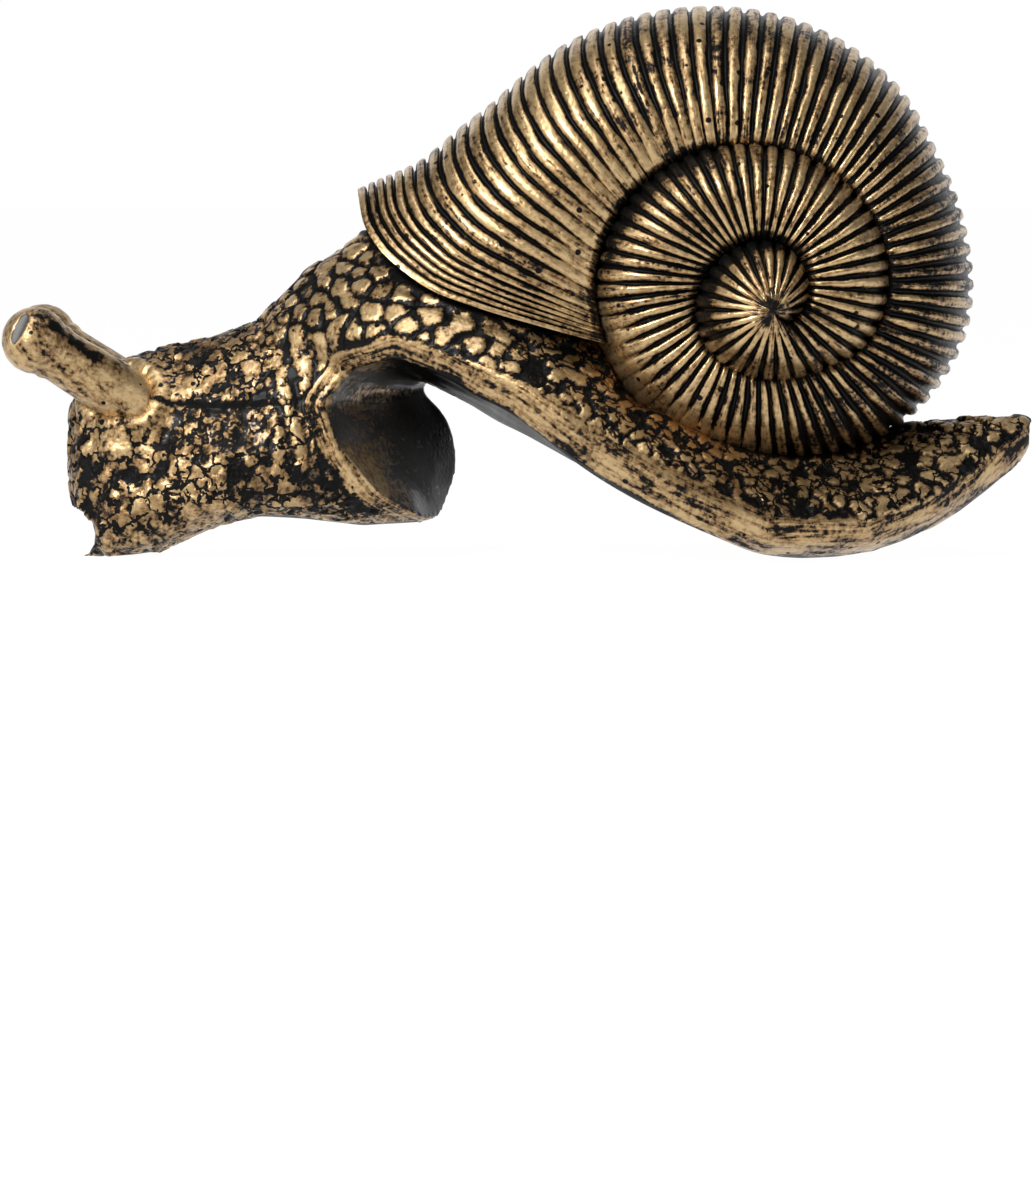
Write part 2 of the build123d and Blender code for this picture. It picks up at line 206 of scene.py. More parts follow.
# Tilts of the surface between which a zone fades in, as the normal's part along one axis
SIDE_TILTS = (0.3, 0.6)
SOLE_EDGE_TILTS = (0.5, 0.1)
REST_TILTS = (-0.96, -0.995)
BRIM_TILTS = (-0.25, -0.60)
UNDERSIDE_TILTS = (-0.55, -0.75)
# Paddle faces turned this far to the rear take a painted sheen.
PADDLE_SHEEN_TILTS = (0.1, 0.5)

# Distances from the sole line, the eye stalks, the shell or a scale's edge over which the work fades in
UNDERSIDE_GAPS = (0.8 * MM, 0.35 * MM)
SOLE_RUB_GAPS = (1.5 * MM, 0.3 * MM)
PADDLE_RIM_GAPS = (5.0 * MM, 0.8 * MM)
BAND_LINE_GAPS = (0.45 * MM, 0.15 * MM)
STALK_FLARE_GAPS = (3.2 * MM, 0.6 * MM)
SHELL_SEAT_GAPS = (1.8 * MM, 0.9 * MM)
# Painted shadow on the body fades in over these distances from the shell.
SHELL_SHADOW_GAPS = (1.7 * MM, 0.7 * MM)
# Painted amber bounce light fades in over these distances from the shell.
BOUNCE_LIGHT_GAPS = (7.0 * MM, 1.5 * MM)
SUNK_SCALE_GAPS = (0.3 * MM, 0.8 * MM)
SCALE_GROOVE = 0.04 * MM
SCALE_GOLD_EDGE = 0.08 * MM

# Small forms of the body
BAND_WAVE = 0.7 * MM
BAND_SOFTNESS = 0.3 * MM
SCALE_DRIFT = 0.45 * MM
SUNK_SCALE_SHARE = 0.12
LONE_SCALE_EDGE = 2 * MM
FOLD_PITCH = 2.5 * MM
FOLD_WAVE = 1.1 * MM
FOLD_LEAN = 0.18
STALK_FILLET = 3.0 * MM
CHEEK_DEPTH = 0.8 * MM
BULGE_RISE = 0.7 * MM
BULGE_PLACE_SHARES = (0.053, 0.355)
BULGE_REACH_SHARES = (0.030, 0.008)
SEAM_HEIGHT_SHARE = 0.478
SEAM_MIDDLE_SHARE = 0.14
SEAM_WIDTH_SHARES = (0.010, 0.003)
SEAM_SLOPE = 0.03

# Heights of the worked surface in scale heights: where the solid lies, smooth places and the shell's seat
SOLID_RISE = 0.72
SMOOTH_RISE = 0.8
SEAT_RISE = 1.6

# Stripe along each eye stalk and the chip on the near one, seen from the side
STALK_STEP = 0.22 * MM
STRIPE_FACING = (0.0, -0.72, 0.70)
STRIPE_PLACES = ((-61.9 * MM, -60.9 * MM), (-50.8 * MM, -52.2 * MM))
CHIP_PLACE = (-62.0 * MM, 29.0 * MM)
CHIP_HALF_WIDTH = 0.66 * MM
CHIP_HALF_HEIGHT = 1.75 * MM
CHIP_LEAN = 0.42
CHIP_DEPTH = 0.22 * MM
CHIP_SHADE_PLACES = (-0.2 * MM, 0.5 * MM)

# Cracks in the paint sway this far, and the paint's relief is this deep
CRACK_SWAY = 2.8 * MM
PAINT_DEPTH = 0.16 * MM

COLOUR = {"subtype": "COLOR", "size": 4, "min": 0.0, "max": 1.0}


class SnailShellSettings(bpy.types.PropertyGroup):
    """Sizes of the ribbed shell."""

    radius: FloatProperty(
        name="Rear radius", description="Radius of the last whorl behind the axis", default=28.0 * MM,
        unit="LENGTH",
    )
    half_width: FloatProperty(
        name="Whorl half width", description="Half width of the last whorl", default=19.0 * MM, unit="LENGTH"
    )
    tier_half_width: FloatProperty(
        name="Tier half width", description="Half width at the raised middle whorl", default=25.2 * MM,
        unit="LENGTH",
    )
    tip_half_width: FloatProperty(
        name="Tip half width", description="Half width at the innermost whorl", default=29.2 * MM,
        unit="LENGTH",
    )
    axis_back: FloatProperty(
        name="Axis place", description="Where the spiral's axis crosses the length", default=29.9 * MM,
        unit="LENGTH",
    )
    axis_height: FloatProperty(
        name="Axis height", description="Height of the spiral's axis", default=34.6 * MM, unit="LENGTH"
    )
    rib_depth: FloatProperty(
        name="Rib depth", description="Height of a rib over its grooves", default=0.68 * MM, unit="LENGTH"
    )
    rib_pitch: FloatProperty(
        name="Rib pitch", description="Distance between ribs along the periphery", default=2.3 * MM,
        unit="LENGTH",
    )
    suture_lap: FloatProperty(
        name="Suture lap", description="How far a whorl runs into the one before it", default=1.3 * MM,
        unit="LENGTH",
    )
    nucleus_rise: FloatProperty(
        name="Nucleus rise", description="Height of the spiral's middle over its first whorl",
        default=1.2 * MM, unit="LENGTH",
    )
    ring_points: IntProperty(name="Points round", description="Points round each section", default=70, min=16)
    rib_rings: IntProperty(name="Rings per rib", description="Sections along each rib", default=9, min=3)


class SnailBodySettings(bpy.types.PropertyGroup):
    """Sizes of the body's worked surface."""

    voxel: FloatProperty(
        name="Mesh step", description="Step of the remeshed body", default=0.43 * MM, unit="LENGTH"
    )
    scale_size: FloatProperty(
        name="Scale size", description="Distance between the scales of the neck", default=3.1 * MM,
        unit="LENGTH",
    )
    scale_height: FloatProperty(
        name="Scale height", description="Height of a scale over its groove", default=0.6 * MM, unit="LENGTH"
    )
    band: FloatProperty(
        name="Sole band", description="Greatest width of the smooth band along the sole", default=5.8 * MM,
        unit="LENGTH",
    )
    twist_half_width: FloatProperty(
        name="Twist half width", description="Half width over which the arch twists", default=12.0 * MM,
        unit="LENGTH",
    )
    rest_bend: FloatProperty(
        name="Rest bend", description="Rise of the rest per square metre from its middle", default=16.8
    )
    rest_reach: FloatProperty(
        name="Rest reach", description="How far the bend runs", default=13.7 * MM, unit="LENGTH"
    )
    rest_blend: FloatProperty(
        name="Rest blend", description="How softly the bend meets the foot", default=0.25 * MM, unit="LENGTH"
    )
    length: FloatProperty(
        name="Body length", description="Face to tail tip", default=121.0 * MM, unit="LENGTH"
    )
    height: FloatProperty(
        name="Body height", description="Ground to the top of the neck", default=41.0 * MM, unit="LENGTH"
    )


class SnailFinishSettings(bpy.types.PropertyGroup):
    """Colours of the gilding and its ground."""

    gold: FloatVectorProperty(
        name="Gold", description="Rubbed gold on the high places", default=(0.25, 0.140, 0.052, 1.0), **COLOUR
    )
    bright_gold: FloatVectorProperty(
        name="Bright gold", description="Thickest gold", default=(0.58, 0.41, 0.205, 1.0), **COLOUR
    )
    ground: FloatVectorProperty(
        name="Black ground", description="Black paint under the gold", default=(0.0040, 0.0038, 0.0036, 1.0),
        **COLOUR,
    )
    # Resin grey is also mixed into the paddle's rear faces as painted sheen.
    resin: FloatVectorProperty(
        name="Resin", description="Pale resin in a chip", default=(0.34, 0.33, 0.32, 1.0), **COLOUR
    )
    # Amber is painted warm light, reflected off the gold shell into the crevice beside it.
    amber: FloatVectorProperty(
        name="Amber", description="Glaze that pooled beside the shell", default=(0.30, 0.125, 0.022, 1.0),
        **COLOUR,
    )
    umber: FloatVectorProperty(
        name="Thin gold", description="Gold rubbed thin over black", default=(0.075, 0.043, 0.018, 1.0),
        **COLOUR,
    )


class SnailStageSettings(bpy.types.PropertyGroup):
    """Camera and light."""

    pixel: FloatProperty(
        name="Pixel", description="Length that one pixel of the 1035 by 1200 picture covers",
        default=0.1262 * MM, unit="LENGTH",
    )
    distance: FloatProperty(
        name="Camera distance", description="From the camera to the middle of the part", default=1.1,
        unit="LENGTH",
    )
    elevation: FloatProperty(
        name="Camera elevation", description="Angle of the view above the horizon", default=math.radians(3.0),
        subtype="ANGLE",
    )
    drop: FloatProperty(
        name="Aim drop", description="How far below the ground line the camera aims", default=5.6 * MM,
        unit="LENGTH",
    )


def along(table, places):
    """Smooth reading of a table of places and values, without overshoot."""
    x = np.array([row[0] for row in table], float)
    y = np.array([row[1] for row in table], float)
    span = np.diff(x)
    rise = np.diff(y) / span
    slope = np.empty_like(y)
    slope[0] = rise[0]
    slope[-1] = rise[-1]
    both = rise[:-1] * rise[1:]
    total = rise[:-1] + rise[1:]
    slope[1:-1] = np.where(both > 0, 2 * both / np.where(total == 0, 1, total), 0)
    p = np.clip(np.asarray(places, float), x[0], x[-1])
    i = np.clip(np.searchsorted(x, p, side="right") - 1, 0, len(span) - 1)
    t = (p - x[i]) / span[i]
    a = 2 * t**3 - 3 * t**2 + 1
    b = t**3 - 2 * t**2 + t
    c = 3 * t**2 - 2 * t**3
    d = t**3 - t**2
    return a * y[i] + b * span[i] * slope[i] + c * y[i + 1] + d * span[i] * slope[i + 1]


def smooth_step(low, high, value):
    """Rises smoothly from 0 at low to 1 at high, which may be the smaller of the two."""
    t = np.clip((np.asarray(value, float) - low) / (high - low), 0, 1)
    return t * t * (3 - 2 * t)


def zone(values, fades):
    """How far each value lies in a zone that fades in over the first pair and out over the second."""
    start, end = fades
    return smooth_step(*start, values) * smooth_step(*end, values)


def mix(first, second, amount):
    """Goes from the first value to the second as the amount goes from 0 to 1."""
    return first * (1 - amount) + second * amount


def cloud(points, scale, seed):
    """Smooth noise from -1 to 1 at each point."""
    shift = Vector((seed * 7.31, seed * 3.17, seed * 5.77))
    return np.array([noise.noise(Vector(p) * scale + shift) for p in points])


def set_amount(mesh, key, values):
    """Keeps an amount from 0 to 1 at each point, such as how much gold it holds."""
    attribute = mesh.attributes.new(key, "FLOAT", "POINT")
    attribute.data.foreach_set("value", np.clip(values, 0, 1).astype(np.float32))


def set_grain(mesh, run, across, aside):
    """Keeps how far each point lies along, across and beside the strokes of the gilding."""
    vectors = np.stack([run, across, aside], axis=1).astype(np.float32)
    attribute = mesh.attributes.new("grain", "FLOAT_VECTOR", "POINT")
    attribute.data.foreach_set("vector", vectors.ravel())


def points_of(mesh):
    """The mesh's points as rows of an array."""
    flat = np.empty(len(mesh.vertices) * 3)
    mesh.vertices.foreach_get("co", flat)
    return flat.reshape(-1, 3)


def normals_of(mesh):
    """The normals at the mesh's points as rows of an array."""
    flat = np.empty(len(mesh.vertices) * 3)
    mesh.vertices.foreach_get("normal", flat)
    return flat.reshape(-1, 3)


def place_points(mesh, points):
    """Moves the mesh's points to new places."""
    mesh.vertices.foreach_set("co", np.ascontiguousarray(points, dtype=np.float32).ravel())
    mesh.update()


def add_piece(name, mesh, material, node):
    """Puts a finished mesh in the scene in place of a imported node."""
    piece = bpy.data.objects.new(name, mesh)
    bpy.context.scene.collection.objects.link(piece)
    mesh.materials.clear()
    mesh.materials.append(material)
    for polygon in mesh.polygons:
        polygon.use_smooth = True
    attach(piece, "root")
    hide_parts(node)
    return piece


class PaintNodes:
    """The shader nodes of one paint, each joined to those before it."""

    def __init__(self, name):
        self.material = bpy.data.materials.new(name)
        self.material.use_nodes = True
        self.nodes = self.material.node_tree.nodes
        self.links = self.material.node_tree.links
        self.nodes.clear()
        output = self.nodes.new("ShaderNodeOutputMaterial")
        self.shader = self.nodes.new("ShaderNodeBsdfPrincipled")
        self.links.new(self.shader.outputs["BSDF"], output.inputs["Surface"])
        self.place = self.nodes.new("ShaderNodeTexCoord").outputs["Object"]

    def held(self, key, socket="Fac"):
        """What the mesh keeps at each point under a key."""
        node = self.nodes.new("ShaderNodeAttribute")
        node.attribute_name = key
        return node.outputs[socket]

    def texture(self, kind, source, scale):
        """A texture node of one scale, laid out by a source of places."""
        node = self.nodes.new(kind)
        node.inputs["Scale"].default_value = scale
        self.links.new(source, node.inputs["Vector"])
        return node

    def stretched(self, source, scale):
        """A source of places, scaled along each axis."""
        node = self.nodes.new("ShaderNodeMapping")
        node.inputs["Scale"].default_value = scale
        self.links.new(source, node.inputs["Vector"])
        return node.outputs["Vector"]

    def clouds(self, source, scale, detail, roughness):
        """Noise from 0 to 1."""
        node = self.texture("ShaderNodeTexNoise", source, scale)
        node.inputs["Detail"].default_value = detail
        node.inputs["Roughness"].default_value = roughness
        return node.outputs["Fac"]

    def remap(self, source, low, high, start, end):
        """Goes smoothly from start to end while the source goes from low to high."""
        node = self.nodes.new("ShaderNodeMapRange")
        node.interpolation_type = "SMOOTHSTEP"
        node.inputs["From Min"].default_value = low
        node.inputs["From Max"].default_value = high
        node.inputs["To Min"].default_value = start
        node.inputs["To Max"].default_value = end
        self.links.new(source, node.inputs["Value"])
        return node.outputs["Result"]

    def join(self, operation, first, second):
        """A sum of two sources, or what else the operation makes of them."""
        node = self.nodes.new("ShaderNodeMath")
        node.operation = operation
        self.links.new(first, node.inputs[0])
        self.links.new(second, node.inputs[1])
        return node.outputs["Value"]

    def blend(self, amount, first, second):
        """Goes from the first colour to the second by an amount."""
        node = self.nodes.new("ShaderNodeMix")
        node.data_type = "RGBA"
        self.links.new(amount, node.inputs["Factor"])
        self.links.new(first, node.inputs[6])
        self.links.new(second, node.inputs[7])
        return node.outputs[2]

    def colour(self, value):
        """One colour as a source."""
        node = self.nodes.new("ShaderNodeRGB")
        node.outputs[0].default_value = value
        return node.outputs[0]

    def shade(self, socket, source):
        """Joins a source to an input of the shader."""
        self.links.new(source, self.shader.inputs[socket])


def fine_cracks(paint):
    """Broken lines between the small plates of a crackled paint."""
    sway = paint.texture("ShaderNodeTexNoise", paint.place, 700.0)
    bent = paint.nodes.new("ShaderNodeVectorMath")
    bent.operation = "MULTIPLY_ADD"
    bent.inputs[1].default_value = (CRACK_SWAY, CRACK_SWAY, CRACK_SWAY)
    paint.links.new(sway.outputs["Color"], bent.inputs[0])
    paint.links.new(paint.place, bent.inputs[2])
    plates = paint.texture("ShaderNodeTexVoronoi", bent.outputs["Vector"], 430.0)
    plates.feature = "DISTANCE_TO_EDGE"
    lines = paint.remap(plates.outputs["Distance"], 0.035, 0.12, 1.0, 0.0)
    breaks = paint.remap(paint.clouds(paint.place, 420.0, 2.0, 0.5), 0.36, 0.50, 0.0, 1.3)
    return paint.join("MULTIPLY", lines, breaks)


def gilded(name, stroke_scale, pit_scale, polish):
    """Gold rubbed over black: the gild attribute says where gold stays, noise breaks its edge."""
    finish = bpy.context.scene.snail_finish
    paint = PaintNodes(name)

    # Strokes, specks, patches, pinholes and cracks that break the gold
    stroke = paint.clouds(paint.stretched(paint.held("grain", "Vector"), stroke_scale), 1.0, 4.0, 0.62)
    speck = paint.clouds(paint.place, 1500.0, 3.0, 0.6)
    patch = paint.clouds(paint.place, 160.0, 3.0, 0.55)
    pits = paint.texture("ShaderNodeTexVoronoi", paint.place, pit_scale)
    pitted = paint.remap(pits.outputs["Distance"], 0.10, 0.14, -0.9, 0.0)
    crackled = paint.held("crackle")
    crack = paint.join("MULTIPLY", fine_cracks(paint), crackled)

    # How much gold is left
    grit = paint.remap(speck, 0.3, 0.7, -0.22, 0.22)
    grit = paint.join("ADD", grit, paint.remap(stroke, 0.3, 0.7, -0.30, 0.30))
    grit = paint.join("ADD", grit, paint.remap(patch, 0.3, 0.7, -0.16, 0.16))
    grit = paint.join("MULTIPLY", grit, paint.remap(crackled, 0.0, 1.0, 1.0, 0.5))
    worn = paint.join("ADD", paint.join("ADD", paint.held("gild"), grit), pitted)
    worn = paint.join("SUBTRACT", worn, crack)
    cover = paint.remap(worn, 0.36, 0.60, 0.0, 1.0)
    depth = paint.remap(worn, 0.50, 1.15, 0.0, 1.0)

    # Colours from the ground up, with bare resin in a chip, and resin grey on the paddle as painted sheen
    gold = paint.blend(depth, paint.colour(finish.gold), paint.colour(finish.bright_gold))
    # Painted warm bounce light: gold tinted amber beside the shell.
    gold = paint.blend(paint.held("painted_bounce_light"), gold, paint.colour(finish.amber))
    thin = paint.blend(paint.remap(worn, 0.40, 0.72, 0.0, 1.0), paint.colour(finish.umber), gold)
    painted = paint.blend(cover, paint.colour(finish.ground), thin)
    chip_and_sheen = paint.held("chip_and_sheen")
    paint.shade("Base Color", paint.blend(chip_and_sheen, painted, paint.colour(finish.resin)))

    # Sheen of gold, black and lacquer
    metal = paint.remap(cover, 0.1, 0.8, 0.0, 0.82)
    paint.shade("Metallic", paint.join("SUBTRACT", metal, chip_and_sheen))
    paint.shade("Specular IOR Level", paint.remap(cover, 0.1, 0.8, 0.08, 0.5))
    coat = paint.remap(cover, 0.1, 0.8, 0.06, 0.30)
    paint.shade("Coat Weight", paint.join("MAXIMUM", coat, paint.held("lacquer")))
    paint.shader.inputs["Coat Roughness"].default_value = 0.18
    paint.shade("Roughness", paint.remap(stroke, 0.3, 0.7, polish + 0.07, polish - 0.06))

    # Thickness of the paint
    relief = paint.join("ADD", paint.remap(cover, 0.0, 1.0, 0.0, 0.6), paint.remap(speck, 0.2, 0.8, 0.0, 0.5))
    relief = paint.join("SUBTRACT", relief, crack)
    bump = paint.nodes.new("ShaderNodeBump")
    bump.inputs["Strength"].default_value = 0.6
    bump.inputs["Distance"].default_value = PAINT_DEPTH
    paint.links.new(relief, bump.inputs["Height"])
    paint.shade("Normal", bump.outputs["Normal"])
    return paint.material


def plain(name, colour, metallic, roughness, grain_scale, grain_stretch):
    """Wire or wood of the hidden joints, with a drawn or turned grain."""
    paint = PaintNodes(name)
    grain = paint.clouds(paint.stretched(paint.place, grain_stretch), grain_scale, 4.0, 0.5)
    dark = tuple(c * 0.7 for c in colour)
    paint.shade("Base Color", paint.blend(grain, paint.colour(dark + (1.0,)), paint.colour(colour + (1.0,))))
    paint.shader.inputs["Metallic"].default_value = metallic
    paint.shader.inputs["Roughness"].default_value = roughness
    return paint.material


class Spiral:
    """The shell's spiral, read by the angle turned."""

    def __init__(self, shell):
        self.shell = shell

    def radius(self, angle):
        """Distance of the periphery from the axis."""
        return self.shell.radius * along(WHORL_RADIUS_SHARES, angle)

    def width(self, angle):
        """Half width of the whorl."""
        shell = self.shell
        widths = (
            (0, shell.tip_half_width),
            (200, shell.tip_half_width),
            (360, shell.tier_half_width),
            (BLEND_START, shell.tier_half_width),
            (BLEND_END, shell.half_width),
            (WHORL_END, shell.half_width),
        )
        return along(widths, angle)

    def point(self, radius, angle):
        """A place on the middle plane, out from the axis."""
        turn = np.radians(angle)
        x = self.shell.axis_back + radius * np.cos(turn)
        z = self.shell.axis_height + radius * np.sin(turn)
        return np.stack([x, np.zeros_like(x), z], axis=-1)

    def periphery(self, angle):
        """Where a section reaches farthest out."""
        return self.point(self.radius(angle), angle)

    def suture(self, angle):
        """Where a section meets the whorl before it, or the spiral's middle on the first whorl."""
        inner = np.asarray(angle, float) + along(RIB_SWEEP_ANGLES, angle) - FULL_TURN
        inner = np.maximum(inner, WHORL_START)
        lap = self.shell.suture_lap * smooth_step(WHORL_START, FAN_END - FULL_TURN, inner)
        return self.point(self.radius(inner) - lap, inner)


def section_outline(power, count):
    """Half section of a whorl from one suture over the periphery to the other, evenly spaced."""
    lean = np.radians(np.linspace(0, 180, OUTLINE_STEPS))
    u = np.abs(np.sin(lean)) ** (2 / power)
    v = -np.sign(np.cos(lean)) * np.abs(np.cos(lean)) ** (2 / power)
    run = np.concatenate([[0], np.cumsum(np.hypot(np.diff(u), np.diff(v)))])
    even = np.linspace(0, run[-1], count)
    return np.interp(even, run, u), np.interp(even, run, v)


class SNAIL_OT_shell(bpy.types.Operator):
    """Model the ribbed spiral shell"""

    bl_idname = "snail.shell"
    bl_label = "Shell"

    def execute(self, context):
        shell = context.scene.snail_shell
        spiral = Spiral(shell)
        angle, phase, ribs = self.spaced_ribs(shell, spiral)
        rings = len(angle)

        sheet = bmesh.new()
        bmesh.ops.create_grid(sheet, x_segments=rings - 1, y_segments=shell.ring_points, size=1.0)
        mesh = bpy.data.meshes.new("shell")
        sheet.to_mesh(mesh)
        sheet.free()
        flat = points_of(mesh)
        ring = np.rint((flat[:, 0] + 1) / 2 * (rings - 1)).astype(int)
        place = np.rint((flat[:, 1] + 1) / 2 * shell.ring_points).astype(int)

        grid, gild, across = self.sections(shell, spiral, angle, phase, ribs)
        place_points(mesh, grid[ring, place])
        set_amount(mesh, "gild", gild[ring, place])
        set_grain(mesh, phase[ring] * shell.rib_pitch, across[ring, place], 0.0 * phase[ring])
        self.close_ends(mesh)
        material = gilded("gilt_shell", stroke_scale=(1500.0, 190.0, 1.0), pit_scale=330.0, polish=0.35)
        add_piece("shell", mesh, material, "shell")
        return {"FINISHED"}

    def spaced_ribs(self, shell, spiral):
        """The angle of every section, how many ribs lie before it, and the number of ribs."""
        dense = np.linspace(WHORL_START, WHORL_END, SPIRAL_STEPS)
        edge = spiral.periphery(dense)
        run = np.concatenate([[0], np.cumsum(np.linalg.norm(np.diff(edge, axis=0), axis=1))])
        start, end = (run[-1] - gap for gap in RIM_CROWDING_GAPS)
        crowd = 1 + RIM_CROWDING * smooth_step(start, end, run)
        count = np.concatenate([[0], np.cumsum(np.diff(run) * crowd[1:])]) / shell.rib_pitch
        ribs = round(count[-1])
        even = np.linspace(0, ribs, ribs * shell.rib_rings + 1)
        phase = even - 0.5 * np.sin(2 * np.pi * even) / (2 * np.pi)
        return np.interp(phase * count[-1] / ribs, count, dense), phase, ribs

    def close_ends(self, mesh):
        """Closes the spiral's ends and sinks the mouth, which holds no gold."""
        work = bmesh.new()
        work.from_mesh(mesh)
        bmesh.ops.remove_doubles(work, verts=work.verts, dist=SHELL_MERGE_GAP)
        caps = bmesh.ops.holes_fill(work, edges=[e for e in work.edges if e.is_boundary], sides=0)["faces"]
        bmesh.ops.recalc_face_normals(work, faces=work.faces)
        bmesh.ops.inset_region(work, faces=caps, thickness=MOUTH_WALL, depth=-MOUTH_DEPTH)
        held = work.verts.layers.float["gild"]
        for corner in {v for cap in caps for v in cap.verts}:
            corner[held] = 0.0
        work.to_mesh(mesh)
        work.free()

    def sections(self, shell, spiral, angle, phase, ribs):
        """Points, gold and stroke places of every section along the spiral."""
        rings = len(angle)
        outer_count = shell.ring_points - INSIDE_POINTS
        suture = spiral.suture(angle)
        outward = spiral.periphery(angle) - suture
        reach = np.linalg.norm(outward, axis=1)
        aside = np.stack([outward[:, 2], np.zeros(rings), -outward[:, 0]], axis=1)
        width = spiral.width(angle)
        power = along(WHORL_POWERS, angle)
        fan = smooth_step(FAN_END, FAN_START, angle)
        bend = smooth_step(BEND_START, WHORL_END, angle)
        bow = self.rim_bow(shell, suture[-1], outward[-1], aside[-1])

        rng = np.random.default_rng(11)
        jitter = np.abs(rng.normal(0, 1, ribs + 2))[np.floor(phase).astype(int)]
        # Painted shade: the ribs on the shell's right side hold less gold.
        gold = 0.94 - 0.12 * jitter - 0.14 * zone(angle, SHADED_SIDE_ANGLES)
        wave = np.abs(np.sin(np.pi * phase))
        groove = np.rint(phase)
        lip = smooth_step(ribs - 0.85, ribs - 0.4, phase)
        up = np.array([0.0, 1.0, 0.0])

        grid = np.zeros((rings, shell.ring_points + 1, 3))
        gild = np.zeros((rings, shell.ring_points + 1))
        across = np.zeros((rings, shell.ring_points + 1))
        for i in range(rings):
            u, v = section_outline(power[i], outer_count)
            side, normal = self.smooth_section(shell, u, v, reach[i], width[i], fan[i])
            seam = u * reach[i]

            # Grooves that wander and change width along each rib, and end before the hub and the rim
            line = np.stack(
                [np.full(outer_count, groove[i] * 3.7), seam / (3.2 * MM), np.sign(v) * 5.0], axis=1
            )
            open_share = self.groove_share(angle[i], line, u, seam, fan[i])
            away = np.abs(phase[i] - groove[i] + 0.09 * cloud(line, scale=0.9, seed=17))
            hub = fan[i] * smooth_step(*HUB_GAPS, seam)
            kept = (1 - lip[i]) * smooth_step(0.03, 0.10, open_share) * (1 - hub)
            cut = smooth_step(open_share, 0.25 * open_share, away) * kept
            height = (1 - cut) * (0.72 + 0.28 * np.maximum(wave[i], np.maximum(lip[i], hub)))
            fade = 1 - fan[i] * smooth_step(*HUB_FADE_GAPS, seam)
            sink = shell.rib_depth * (1 - height) * (0.35 + 0.65 * fade)
            sink = sink * (0.3 + 0.7 * smooth_step(*SUTURE_GROOVE_GAPS, seam))

            # The section in its place along the spiral, and its way back inside the whorl
            pu = seam - normal[:, 0] * sink
            pv = side - normal[:, 1] * sink
            share = pu / max(reach[i], 1e-6)
            middle = suture[i] + share[:, None] * outward[i]
            middle = middle + (bend[i] * along(bow, share))[:, None] * aside[i]
            grid[i, :outer_count] = middle + pv[:, None] * up
            back = np.linspace(pv[-1], pv[0], INSIDE_POINTS + 2)[1:]
            grid[i, outer_count:] = middle[0] + back[:, None] * up

            # Gold on the ribs, darkened beside the suture and round the hub as painted shade, and worn off in
            # places
            shade = 0.40 + 0.60 * smooth_step(*SUTURE_SHADE_GAPS, seam)
            shade = mix(shade, 0.75 + 0.25 * smooth_step(*HUB_SHADE_GAPS, seam), fan[i])
            black = smooth_step(open_share, 0.45 * open_share, away) * kept
            patches = hub * (0.35 + 0.7 * cloud(grid[i, :outer_count], scale=800.0, seed=14))
            bare_and_sheen = np.maximum(self.bare_edge(angle[i], u), patches)
            gild[i, :outer_count] = (1 - black) * shade * (1 - np.clip(bare_and_sheen, 0, 1)) * gold[i]
            across[i, :outer_count] = np.concatenate([[0], np.cumsum(np.hypot(np.diff(pu), np.diff(pv)))])
        return grid, gild, across

    def smooth_section(self, shell, u, v, reach, width, fan):
        """Side distances and normals of a section without ribs, with a raised hub or a pinched suture."""
        top = shell.tip_half_width + shell.nucleus_rise
        high = np.abs(v) * width
        high = high + fan * (top - width) * np.clip(1 - u, 0, 1) ** 2 * np.abs(v)
        high = high * (1 - SUTURE_PINCH * (1 - fan) * np.exp(-((u * reach / SUTURE_PINCH_REACH) ** 2)))
        side = np.sign(v) * high
        slope = np.gradient(np.stack([u * reach, side], axis=1), axis=0)
        normal = np.stack([slope[:, 1], -slope[:, 0]], axis=1)
        return side, normal / (np.linalg.norm(normal, axis=1)[:, None] + 1e-9)

    def groove_share(self, angle, line, u, seam, fan):
        """Half width of one groove along its run, as a share of the rib pitch."""
        drift = cloud(line, scale=1.0, seed=12)
        share = along(GROOVE_SHARES, angle) + (0.13 - 0.04 * smooth_step(*STEADY_ANGLES, angle)) * drift
        share = share * (1 - 0.85 * zone(angle, SHALLOW_ANGLES) * smooth_step(0.50, 0.80, u))
        skirt = smooth_step(*SKIRT_ANGLES, angle) * smooth_step(*SKIRT_GAPS, seam)
        share = share * (1 - 0.7 * skirt)
        leaf = smooth_step(0.22, 0.55, u) * (1 - 0.5 * smooth_step(0.8, 1.0, u))
        share = share * (1 - fan * (1 - leaf))
        return np.clip(share, 0.03, 0.45)

    def bare_edge(self, angle, u):
        """Where the black ground shows along the smooth shoulders of the inner whorls."""
        nucleus = zone(angle, NUCLEUS_ANGLES) * smooth_step(0.70, 0.80, u)
        tier = zone(angle, TIER_ANGLES) * smooth_step(0.74, 0.86, u)
        return 0.9 * np.maximum(nucleus, tier)

    def rim_bow(self, shell, foot, chord, aside):
        """How far the rim bows from the straight line between its ends, by the share of that line."""
        rows = [(0.0, 0.0)]
        length = chord.dot(chord)
        for back, high in RIM_SHARES:
            x = shell.axis_back + back * shell.radius
            z = shell.axis_height + high * shell.radius
            way = np.array([x, 0.0, z]) - foot
            rows.append((way.dot(chord) / length, way.dot(aside) / length))
        return rows + [(1.0, 0.0)]


